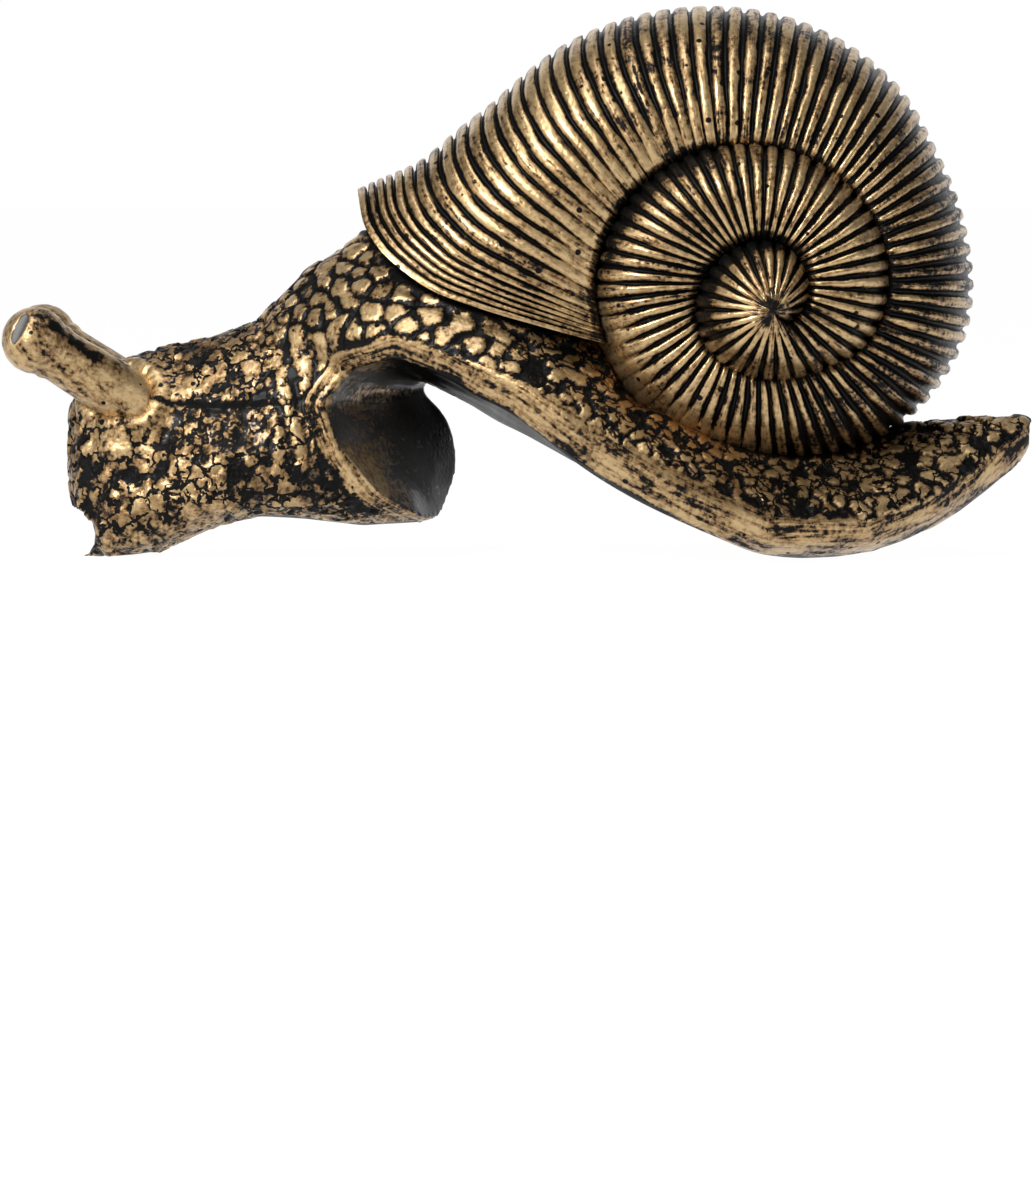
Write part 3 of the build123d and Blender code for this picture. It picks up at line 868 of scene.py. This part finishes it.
def sole_place(points, body, front):
    """How far points seen from the side lie along and off the sole line, and the band's width there."""
    best = np.full(len(points), 1.0)
    place = np.zeros(len(points))
    width = np.zeros(len(points))
    shares = np.array(SOLE_SHARES)
    x = front + shares[:, 0] * body.length
    z = shares[:, 1] * body.height
    twist = np.clip(points[:, 1], -body.twist_half_width, body.twist_half_width)
    run = 0.0
    for i in range(len(shares) - 1):
        ax = x[i] + shares[i, 2] * twist
        az = z[i] + shares[i, 3] * twist
        dx = x[i + 1] + shares[i + 1, 2] * twist - ax
        dz = z[i + 1] + shares[i + 1, 3] * twist - az
        t = ((points[:, 0] - ax) * dx + (points[:, 2] - az) * dz) / (dx * dx + dz * dz)
        t = np.clip(t, 0, 1)
        gap = np.hypot(points[:, 0] - ax - t * dx, points[:, 2] - az - t * dz)
        step = math.hypot(x[i + 1] - x[i], z[i + 1] - z[i])
        nearer = gap < best
        place = np.where(nearer, run + t * step, place)
        width = np.where(nearer, shares[i, 4] + t * (shares[i + 1, 4] - shares[i, 4]), width)
        best = np.minimum(best, gap)
        run += step
    return place, best, width * body.band


def even_copy(context, node, step, rounds):
    """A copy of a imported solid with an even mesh, its facets smoothed away."""
    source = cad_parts[node].data.copy()
    work = bmesh.new()
    work.from_mesh(source)
    bmesh.ops.remove_doubles(work, verts=work.verts, dist=SOLID_MERGE_GAP)
    work.to_mesh(source)
    work.free()
    blank = bpy.data.objects.new(node + "_blank", source)
    context.scene.collection.objects.link(blank)
    remesh = blank.modifiers.new("even", "REMESH")
    remesh.mode = "VOXEL"
    remesh.voxel_size = step
    soften = blank.modifiers.new("soften", "SMOOTH")
    soften.factor = 0.5
    soften.iterations = rounds
    graph = context.evaluated_depsgraph_get()
    mesh = bpy.data.meshes.new_from_object(blank.evaluated_get(graph))
    mesh.name = node
    bpy.data.objects.remove(blank)
    return mesh


def scale_cells(points, spacing, grown, seed):
    """Splits a surface into scales, some grown together; gives edge distance and scale number."""
    tree = kdtree.KDTree(len(points))
    for i, p in enumerate(points):
        tree.insert(p, i)
    tree.balance()
    free = np.ones(len(points), bool)
    seeds = []
    for i in np.random.default_rng(seed).permutation(len(points)):
        if free[i]:
            seeds.append(i)
            for _, j, _ in tree.find_range(points[i], spacing[i] * 0.82):
                free[j] = False
    cells = kdtree.KDTree(len(seeds))
    for k, i in enumerate(seeds):
        cells.insert(points[i], k)
    cells.balance()
    edge = np.empty(len(points))
    owner = np.empty(len(points), int)
    draws = np.random.default_rng(seed + 1).random(4096)
    for i, p in enumerate(points):
        found = cells.find_n(p, 5)
        owner[i] = found[0][1]
        apart = [f for f in found[1:] if draws[(owner[i] + f[1]) * 37 % len(draws)] > grown[i]]
        edge[i] = apart[0][2] - found[0][2] if apart else LONE_SCALE_EDGE
    return edge, owner, len(seeds)


def gap_to(node, points):
    """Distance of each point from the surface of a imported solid."""
    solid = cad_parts[node].data
    corners = [v.co for v in solid.vertices]
    tree = bvhtree.BVHTree.FromPolygons(corners, [list(f.vertices) for f in solid.polygons])
    return np.array([tree.find_nearest(p)[3] for p in points])


class BodySkin:
    """The body's points, and how far each one lies in a zone of the worked surface, from 0 to 1."""

    def __init__(self, mesh, body):
        self.body = body
        self.points = points_of(mesh)
        self.normals = normals_of(mesh)
        front = self.points[:, 0].min()
        self.share = (self.points[:, 0] - front) / body.length
        self.high = self.points[:, 2] / body.height
        self.side = smooth_step(*SIDE_TILTS, np.abs(self.normals[:, 1]))
        self.wobble = cloud(self.points, scale=420.0, seed=4)
        self.lumps = cloud(self.points, scale=170.0, seed=18)
        self.place, self.sole, band_width = sole_place(self.points, body, front)
        self.band_edge = band_width + BAND_WAVE * self.wobble
        self.find_band()
        self.find_scales()
        self.find_features()

    def find_band(self):
        """The underside with its rests, the rim over the rests, and the smooth band along the sole."""
        down = self.normals[:, 2]
        self.below = smooth_step(*REST_TILTS, down)
        brim = smooth_step(*BRIM_TILTS, down) * smooth_step(*BRIM_HEIGHT_SHARES, self.high)
        self.brim = brim * (1 - self.below)
        self.arch = smooth_step(*ARCH_SHARES, self.share)
        hidden = np.maximum(self.arch, smooth_step(*UNDERSIDE_TILTS, down))
        self.under = np.maximum(smooth_step(*UNDERSIDE_GAPS, self.sole) * hidden, self.below)
        band = smooth_step(self.band_edge + BAND_SOFTNESS, self.band_edge - BAND_SOFTNESS, self.sole)
        self.band = band * (1 - self.under)
        self.scales = (1 - self.band) * (1 - self.under)
        grain = np.stack([self.place * 160, self.sole * 1500, self.points[:, 1] * 0], axis=1)
        self.strokes = cloud(grain, scale=1.0, seed=2)

    def find_scales(self):
        """The scales, large on the neck, smaller and more grown together on the head and the foot."""
        self.neck = zone(self.share, NECK_SHARES) * smooth_step(*NECK_HEIGHT_SHARES, self.high)
        self.head = smooth_step(*HEAD_SHARES, self.share) * (1 - self.neck)
        self.flank = smooth_step(*FLANK_SHARES, self.share) * (1 - self.neck)
        self.spacing = self.body.scale_size * (0.62 + 0.38 * self.neck - 0.12 * self.head)
        grown = 0.32 - 0.22 * self.neck + 0.10 * self.head
        drift = np.stack([cloud(self.points, scale=520.0, seed=seed) for seed in (6, 7, 8)], axis=1)
        self.edge, owner, count = scale_cells(self.points + drift * SCALE_DRIFT, self.spacing, grown, 5)
        rng = np.random.default_rng(9)
        self.tone = rng.normal(0, 1, count)[owner]
        self.sunk = (rng.random(count) < SUNK_SCALE_SHARE)[owner] * (1 - 0.7 * self.neck)

    def find_features(self):
        """Smooth places on the head, the paddle's lobe, the cheeks, the folds and the casting seam."""
        share = self.share
        high = self.high
        left = gap_to("eye_stalk_left", self.points)
        self.stalk_gap = np.minimum(left, gap_to("eye_stalk_right", self.points))
        self.shell_gap = gap_to("shell", self.points)
        flare = smooth_step(*STALK_FLARE_GAPS, self.stalk_gap)
        back = share - BULGE_PLACE_SHARES[0]
        up = (high - BULGE_PLACE_SHARES[1]) * self.body.height / self.body.length
        self.bulge = smooth_step(*BULGE_REACH_SHARES, np.hypot(back, up)) * self.side
        facet = zone(share, FACET_SHARES) * smooth_step(*FACET_HEIGHT_SHARES, high) * self.side
        self.smooth = np.maximum(np.maximum(flare, self.bulge), facet)
        self.lobe = zone(share, LOBE_SHARES) * smooth_step(*LOBE_HEIGHT_SHARES, high)
        self.cheek = zone(share, CHEEK_SHARES) * zone(high, CHEEK_HEIGHT_SHARES) * self.side
        self.folds = zone(share, FOLD_SHARES) * zone(high, FOLD_HEIGHT_SHARES) * self.side * (1 - self.band)
        ply = self.points[:, 0] + FOLD_LEAN * self.points[:, 2]
        ply = ply + FOLD_WAVE * cloud(self.points, scale=170.0, seed=13)
        self.ridge = 0.5 + 0.5 * np.cos(2 * np.pi * ply / FOLD_PITCH)
        off_seam = np.abs(high - SEAM_HEIGHT_SHARE + SEAM_SLOPE * (share - SEAM_MIDDLE_SHARE))
        self.seam = smooth_step(*SEAM_WIDTH_SHARES, off_seam) * zone(share, SEAM_SHARES) * self.side
        # Painted shadow on the body beside the shell.
        self.shell_shadow = smooth_step(*SHELL_SHADOW_GAPS, self.shell_gap)


class SNAIL_OT_body(bpy.types.Operator):
    """Cut scales, the sole band and streaks into a copy of the body's solid"""

    bl_idname = "snail.body"
    bl_label = "Body"

    def execute(self, context):
        body = context.scene.snail_body
        mesh = even_copy(context, "body", body.voxel, 6)
        skin = BodySkin(mesh, body)
        place_points(mesh, self.worked_points(skin))
        set_amount(mesh, "gild", self.gilding(skin))
        self.other_finishes(mesh, skin)
        material = gilded("gilt_body", stroke_scale=(170.0, 1500.0, 1.0), pit_scale=330.0, polish=0.43)
        add_piece("body", mesh, material, "body")
        return {"FINISHED"}

    def worked_points(self, skin):
        """The body's points, moved along their normals by the work, with the rear rest bent at its ends."""
        body = skin.body
        rise = smooth_step(SCALE_GROOVE, 0.24 * skin.spacing, skin.edge) * (0.82 + 0.16 * skin.tone)
        rise = rise - 0.45 * skin.sunk * smooth_step(*SUNK_SCALE_GAPS, skin.edge)
        rise = mix(rise, SMOOTH_RISE, 0.1 * skin.head)
        rise = rise * (1 + 0.35 * skin.flank)
        rise = mix(rise, SMOOTH_RISE, 0.75 * skin.cheek)
        rise = mix(rise, 0.35 + 0.65 * skin.ridge, 0.6 * skin.folds)
        rise = mix(rise, SMOOTH_RISE, skin.smooth)
        lumpy = 0.45 + 0.5 * skin.lumps * skin.arch * (1 - skin.below)
        height = rise * skin.scales + skin.band * (0.62 + 0.22 * skin.strokes) + skin.under * lumpy
        height = height - 0.4 * skin.seam
        height = mix(height, SEAT_RISE, smooth_step(*SHELL_SEAT_GAPS, skin.shell_gap))
        fillet = np.clip(STALK_FILLET - skin.stalk_gap, 0, None) ** 2 / (2 * STALK_FILLET)
        lift = (height - SOLID_RISE) * body.scale_height + fillet
        lift = lift + BULGE_RISE * skin.bulge - CHEEK_DEPTH * skin.cheek
        moved = skin.points + skin.normals * lift[:, None]
        away = np.minimum(np.abs(skin.share - REST_MIDDLE_SHARE) * body.length, body.rest_reach)
        bend = body.rest_bend * away**2
        bent = 0.5 * (moved[:, 2] + bend + np.hypot(moved[:, 2] - bend, body.rest_blend))
        moved[:, 2] = np.where(skin.share > REST_FRONT_SHARE, bent, moved[:, 2])
        return moved

    def gilding(self, skin):
        """How much gold each point holds."""
        crown = smooth_step(SCALE_GOLD_EDGE, 0.40 * skin.spacing, skin.edge) * (0.86 + 0.12 * skin.tone)
        crown = (crown - 0.65 * skin.sunk) * 1.2 + 0.06 * smooth_step(*TAIL_SHARES, skin.share)
        crown = mix(crown, 0.68 + 0.10 * skin.tone - 0.35 * skin.sunk, skin.head)
        crown = crown - 0.28 * skin.lobe
        # The cheek under the seam's step holds less gold: painted shade.
        crown = mix(crown, 0.50 + 0.12 * skin.wobble, skin.cheek)
        crown = mix(crown, smooth_step(0.10, 0.60, skin.ridge), 0.6 * skin.folds)
        crown = mix(crown, 0.80 + 0.15 * skin.wobble, skin.smooth)
        gild = crown * skin.scales + skin.band * (0.72 + 0.25 * skin.strokes)

        # The underside is black, with gold rubbed along the paddle's rim and over its foot
        rim = smooth_step(*PADDLE_RIM_GAPS, skin.sole) * smooth_step(*PADDLE_RIM_SHARES, skin.share)
        foot = smooth_step(*PADDLE_FOOT_SHARES, skin.share)
        foot = foot * smooth_step(*PADDLE_FOOT_HEIGHT_SHARES, skin.high)
        rubbed = 0.06 + (0.5 * rim + 0.80 * foot * (1 + 0.5 * skin.lumps)) * (1 - skin.below)
        gild = mix(gild, rubbed, skin.under)

        # Dark lines along the seam and the arch, and painted shadow on the body round the shell's edge
        corner = smooth_step(*SOLE_EDGE_TILTS, np.abs(skin.normals[:, 1]))
        corner = corner * smooth_step(*SOLE_RUB_GAPS, skin.sole)
        line = smooth_step(*BAND_LINE_GAPS, np.abs(skin.sole - skin.band_edge))
        line = line * smooth_step(*ARCH_LINE_SHARES, skin.share)
        gild = gild - 0.6 * skin.seam - 0.1 * corner * skin.arch - 0.6 * line
        gild = mix(gild, 0.15 + 0.50 * zone(skin.share, SHADOW_LIGHTER_SHARES), skin.shell_shadow)
        gild = mix(gild, 0.70 + 0.25 * skin.strokes, skin.brim)
        tip = smooth_step(*TAIL_TIP_SHARES, skin.share + 0.012 * skin.wobble)
        return gild - 0.35 * tip - 0.05 * skin.flank * skin.scales

    def other_finishes(self, mesh, skin):
        """The painted amber bounce light beside the shell, the crackle, the paddle's lacquer and its painted
        sheen in resin grey, and the run of the strokes.
        """
        # Painted amber bounce light on the body beside the shell.
        painted_bounce_light = smooth_step(*BOUNCE_LIGHT_GAPS, skin.shell_gap) * zone(skin.share, BOUNCE_LIGHT_SHARES)
        set_amount(mesh, "painted_bounce_light", 0.75 * painted_bounce_light)
        crackle = skin.scales * (0.6 - 0.5 * skin.neck + 0.4 * skin.head)
        crackle = crackle * (1 - 0.6 * skin.cheek) * (1 - 0.4 * skin.folds)
        set_amount(mesh, "crackle", crackle * (1 - skin.smooth) * (1 - skin.shell_shadow) * (1 - skin.brim))
        paddle = skin.under * (1 - skin.below) * smooth_step(*PADDLE_SHARES, skin.share)
        set_amount(mesh, "lacquer", 0.5 * paddle)
        # The paddle's faces turned to the rear are painted paler with resin grey: painted sheen.
        bare_and_sheen = paddle * smooth_step(*PADDLE_SHEEN_TILTS, skin.normals[:, 0])
        set_amount(mesh, "chip_and_sheen", 0.13 * bare_and_sheen * (1 + 0.6 * cloud(skin.points, scale=140.0, seed=16)))
        brushed = skin.band + skin.under > 0.5
        run = np.where(brushed, skin.place, skin.points[:, 0] * 3.5)
        across = np.where(brushed, skin.sole, skin.points[:, 2] * 0.4)
        set_grain(mesh, run, across, np.where(brushed, 0.0, skin.points[:, 1] * 600.0))


class SNAIL_OT_eye_stalks(bpy.types.Operator):
    """Give the eye stalks their worked surface"""

    bl_idname = "snail.eye_stalks"
    bl_label = "Eye stalks"

    def execute(self, context):
        material = gilded("gilt_stalk", stroke_scale=(260.0, 900.0, 1.0), pit_scale=420.0, polish=0.42)
        for side in ("left", "right"):
            node = "eye_stalk_" + side
            mesh = even_copy(context, node, STALK_STEP, 20)
            points = points_of(mesh)
            middle = points.mean(axis=0)
            axis = np.linalg.svd(points - middle, full_matrices=False)[2][0]
            run = (points - middle) @ axis
            radial = points - middle - run[:, None] * axis
            across = np.linalg.norm(radial, axis=1)
            dents = cloud(points, scale=450.0, seed=3)

            # A black stripe, broken here and there
            facing = np.array(STRIPE_FACING)
            facing = facing - axis * facing.dot(axis)
            turn = radial @ (facing / np.linalg.norm(facing))
            breaks = smooth_step(-0.80, -0.25, cloud(points, scale=260.0, seed=15))
            stripe = smooth_step(0.935, 0.985, turn / (across + 0.1 * MM) + 0.06 * dents) * breaks
            stripe = stripe * zone(points[:, 0], STRIPE_PLACES)

            # A chip down to the resin, with a bright lip
            spot = points[:, [0, 2]] - np.array(CHIP_PLACE)
            tilt = spot[:, 0] - CHIP_LEAN * spot[:, 1]
            oval = np.hypot(tilt / CHIP_HALF_WIDTH, spot[:, 1] / CHIP_HALF_HEIGHT) + 0.25 * dents
            near = (points[:, 1] < middle[1]) * (side == "left")
            chip_and_sheen = smooth_step(1.10, 0.92, oval) * near
            lip = smooth_step(1.60, 1.30, oval) * near - chip_and_sheen

            place_points(mesh, points - normals_of(mesh) * (CHIP_DEPTH * chip_and_sheen)[:, None])
            set_amount(mesh, "gild", 0.80 + 0.20 * dents - 0.62 * stripe - 0.90 * chip_and_sheen + 0.30 * lip)
            set_amount(mesh, "chip_and_sheen", chip_and_sheen * (0.62 - 0.40 * smooth_step(*CHIP_SHADE_PLACES, tilt)))
            set_grain(mesh, run, turn, 0.0 * run)
            add_piece(node, mesh, material, node)
        return {"FINISHED"}


class SNAIL_OT_fixings(bpy.types.Operator):
    """Finish the hidden wire pins and dowels"""

    bl_idname = "snail.fixings"
    bl_label = "Pins and dowels"

    def execute(self, context):
        wire = plain("steel_wire", (0.55, 0.55, 0.56), 1.0, 0.35, 900.0, (0.1, 1.0, 1.0))
        wood = plain("dowel_wood", (0.62, 0.47, 0.30), 0.0, 0.6, 500.0, (1.0, 1.0, 0.1))
        finishes = {
            "stalk_pin_left": wire,
            "stalk_pin_right": wire,
            "shell_dowel_front": wood,
            "shell_dowel_rear": wood,
        }
        for node, material in finishes.items():
            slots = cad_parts[node].material_slots
            if not slots:
                raise RuntimeError(node + " has no material slot")
            for slot in slots:
                slot.material = material
        return {"FINISHED"}


class SNAIL_OT_stage(bpy.types.Operator):
    """Set up the floor, the light and the camera"""

    bl_idname = "snail.stage"
    bl_label = "Stage"

    def execute(self, context):
        scene = context.scene
        stage = scene.snail_stage
        scene.view_settings.view_transform = "Standard"
        self.floor(scene)
        self.world(scene)
        self.lamp(scene, "key_softbox", (-0.5, -0.75, 0.55), 0.34, 8.6)
        self.lamp(scene, "top_softbox", (-0.1, -0.25, 0.85), 0.5, 3.0)
        self.lamp(scene, "left_softbox", (-0.85, -0.3, 0.1), 0.35, 0.9)
        self.lamp(scene, "right_softbox", (0.75, -0.6, 0.12), 0.3, 0.9)
        self.camera(scene, stage)
        return {"FINISHED"}

    def sight(self, nodes, links):
        """Sockets that are 1 for rays from the camera, for rays off metal or glass, and for any of them."""
        path = nodes.new("ShaderNodeLightPath")
        mirror = nodes.new("ShaderNodeMath")
        mirror.operation = "MAXIMUM"
        links.new(path.outputs["Is Glossy Ray"], mirror.inputs[0])
        links.new(path.outputs["Is Transmission Ray"], mirror.inputs[1])
        either = nodes.new("ShaderNodeMath")
        either.operation = "MAXIMUM"
        links.new(path.outputs["Is Camera Ray"], either.inputs[0])
        links.new(mirror.outputs["Value"], either.inputs[1])
        return path.outputs["Is Camera Ray"], mirror.outputs["Value"], either.outputs["Value"]

    def floor(self, scene):
        """A flat white floor that is matte for the light and nearly blank for the camera."""
        sheet = bmesh.new()
        bmesh.ops.create_grid(sheet, x_segments=1, y_segments=1, size=6.0)
        mesh = bpy.data.meshes.new("floor")
        sheet.to_mesh(mesh)
        sheet.free()
        floor = bpy.data.objects.new("floor", mesh)
        scene.collection.objects.link(floor)
        material = bpy.data.materials.new("white_sweep")
        material.use_nodes = True
        nodes = material.node_tree.nodes
        links = material.node_tree.links
        nodes.clear()
        output = nodes.new("ShaderNodeOutputMaterial")
        matte = nodes.new("ShaderNodeBsdfDiffuse")
        matte.inputs["Color"].default_value = (0.6, 0.6, 0.6, 1.0)
        white = nodes.new("ShaderNodeEmission")
        white.inputs["Strength"].default_value = 1.07
        seen = nodes.new("ShaderNodeMixShader")
        seen.inputs["Fac"].default_value = 0.92
        links.new(matte.outputs["BSDF"], seen.inputs[1])
        links.new(white.outputs["Emission"], seen.inputs[2])
        choose = nodes.new("ShaderNodeMixShader")
        links.new(self.sight(nodes, links)[2], choose.inputs["Fac"])
        links.new(matte.outputs["BSDF"], choose.inputs[1])
        links.new(seen.outputs["Shader"], choose.inputs[2])
        links.new(choose.outputs["Shader"], output.inputs["Surface"])
        mesh.materials.append(material)

    def world(self, scene):
        """A dim room, white for the camera and for what metal mirrors from behind the part."""
        world = bpy.data.worlds.new("studio")
        world.use_nodes = True
        nodes = world.node_tree.nodes
        links = world.node_tree.links
        nodes.clear()
        output = nodes.new("ShaderNodeOutputWorld")
        seen = nodes.new("ShaderNodeBackground")
        seen.inputs["Color"].default_value = (1.0, 1.0, 1.0, 1.0)
        seen.inputs["Strength"].default_value = 1.0
        fill = nodes.new("ShaderNodeBackground")
        fill.inputs["Color"].default_value = (1.0, 1.0, 1.0, 1.0)
        fill.inputs["Strength"].default_value = 0.16
        camera, mirror, _ = self.sight(nodes, links)
        place = nodes.new("ShaderNodeTexCoord")
        split = nodes.new("ShaderNodeSeparateXYZ")
        links.new(place.outputs["Generated"], split.inputs["Vector"])
        behind = nodes.new("ShaderNodeMapRange")
        behind.inputs["From Min"].default_value = 0.55
        behind.inputs["From Max"].default_value = 0.80
        links.new(split.outputs["Y"], behind.inputs["Value"])
        backdrop = nodes.new("ShaderNodeMath")
        backdrop.operation = "MULTIPLY"
        links.new(mirror, backdrop.inputs[0])
        links.new(behind.outputs["Result"], backdrop.inputs[1])
        white = nodes.new("ShaderNodeMath")
        white.operation = "MAXIMUM"
        links.new(camera, white.inputs[0])
        links.new(backdrop.outputs["Value"], white.inputs[1])
        choose = nodes.new("ShaderNodeMixShader")
        links.new(white.outputs["Value"], choose.inputs["Fac"])
        links.new(fill.outputs["Background"], choose.inputs[1])
        links.new(seen.outputs["Background"], choose.inputs[2])
        links.new(choose.outputs["Shader"], output.inputs["Surface"])
        scene.world = world

    def lamp(self, scene, name, place, size, power):
        """A square softbox that faces the part."""
        light = bpy.data.lights.new(name, "AREA")
        light.shape = "SQUARE"
        light.size = size
        light.energy = power
        lamp = bpy.data.objects.new(name, light)
        lamp.location = place
        aim = Vector((0.0, 0.0, 0.03)) - lamp.location
        lamp.rotation_euler = aim.to_track_quat("-Z", "Y").to_euler()
        scene.collection.objects.link(lamp)

    def camera(self, scene, stage):
        """The camera of the picture's side view."""
        lens = bpy.data.cameras.new("camera")
        lens.sensor_fit = "HORIZONTAL"
        lens.sensor_width = 36.0
        lens.lens = lens.sensor_width * stage.distance / (PICTURE_WIDTH * stage.pixel)
        lens.clip_start = 0.01
        lens.clip_end = 20.0
        eye = bpy.data.objects.new("camera", lens)
        aim = Vector((0.0, 0.0, -stage.drop))
        back = Vector((0.0, -math.cos(stage.elevation), math.sin(stage.elevation)))
        eye.location = aim + back * stage.distance
        eye.rotation_euler = (-back).to_track_quat("-Z", "Y").to_euler()
        scene.collection.objects.link(eye)
        scene.camera = eye


class SNAIL_PT_panel(bpy.types.Panel):
    """Pieces of the snail ornament"""

    bl_idname = "SNAIL_PT_panel"
    bl_label = "Snail ornament"
    bl_space_type = "VIEW_3D"
    bl_region_type = "UI"
    bl_category = "Snail"

    def draw(self, context):
        for operator in OPERATORS:
            self.layout.operator(operator.bl_idname)


SETTINGS = (SnailShellSettings, SnailBodySettings, SnailFinishSettings, SnailStageSettings)
OPERATORS = (SNAIL_OT_shell, SNAIL_OT_body, SNAIL_OT_eye_stalks, SNAIL_OT_fixings, SNAIL_OT_stage)


def register():
    for item in SETTINGS + OPERATORS + (SNAIL_PT_panel,):
        bpy.utils.register_class(item)
    bpy.types.Scene.snail_shell = PointerProperty(type=SnailShellSettings)
    bpy.types.Scene.snail_body = PointerProperty(type=SnailBodySettings)
    bpy.types.Scene.snail_finish = PointerProperty(type=SnailFinishSettings)
    bpy.types.Scene.snail_stage = PointerProperty(type=SnailStageSettings)


def unregister():
    del bpy.types.Scene.snail_stage
    del bpy.types.Scene.snail_finish
    del bpy.types.Scene.snail_body
    del bpy.types.Scene.snail_shell
    for item in reversed(SETTINGS + OPERATORS + (SNAIL_PT_panel,)):
        bpy.utils.unregister_class(item)


def main():
    register()
    bpy.ops.snail.shell()
    bpy.ops.snail.body()
    bpy.ops.snail.eye_stalks()
    bpy.ops.snail.fixings()
    bpy.ops.snail.stage()


if __name__ == "__main__":
    main()
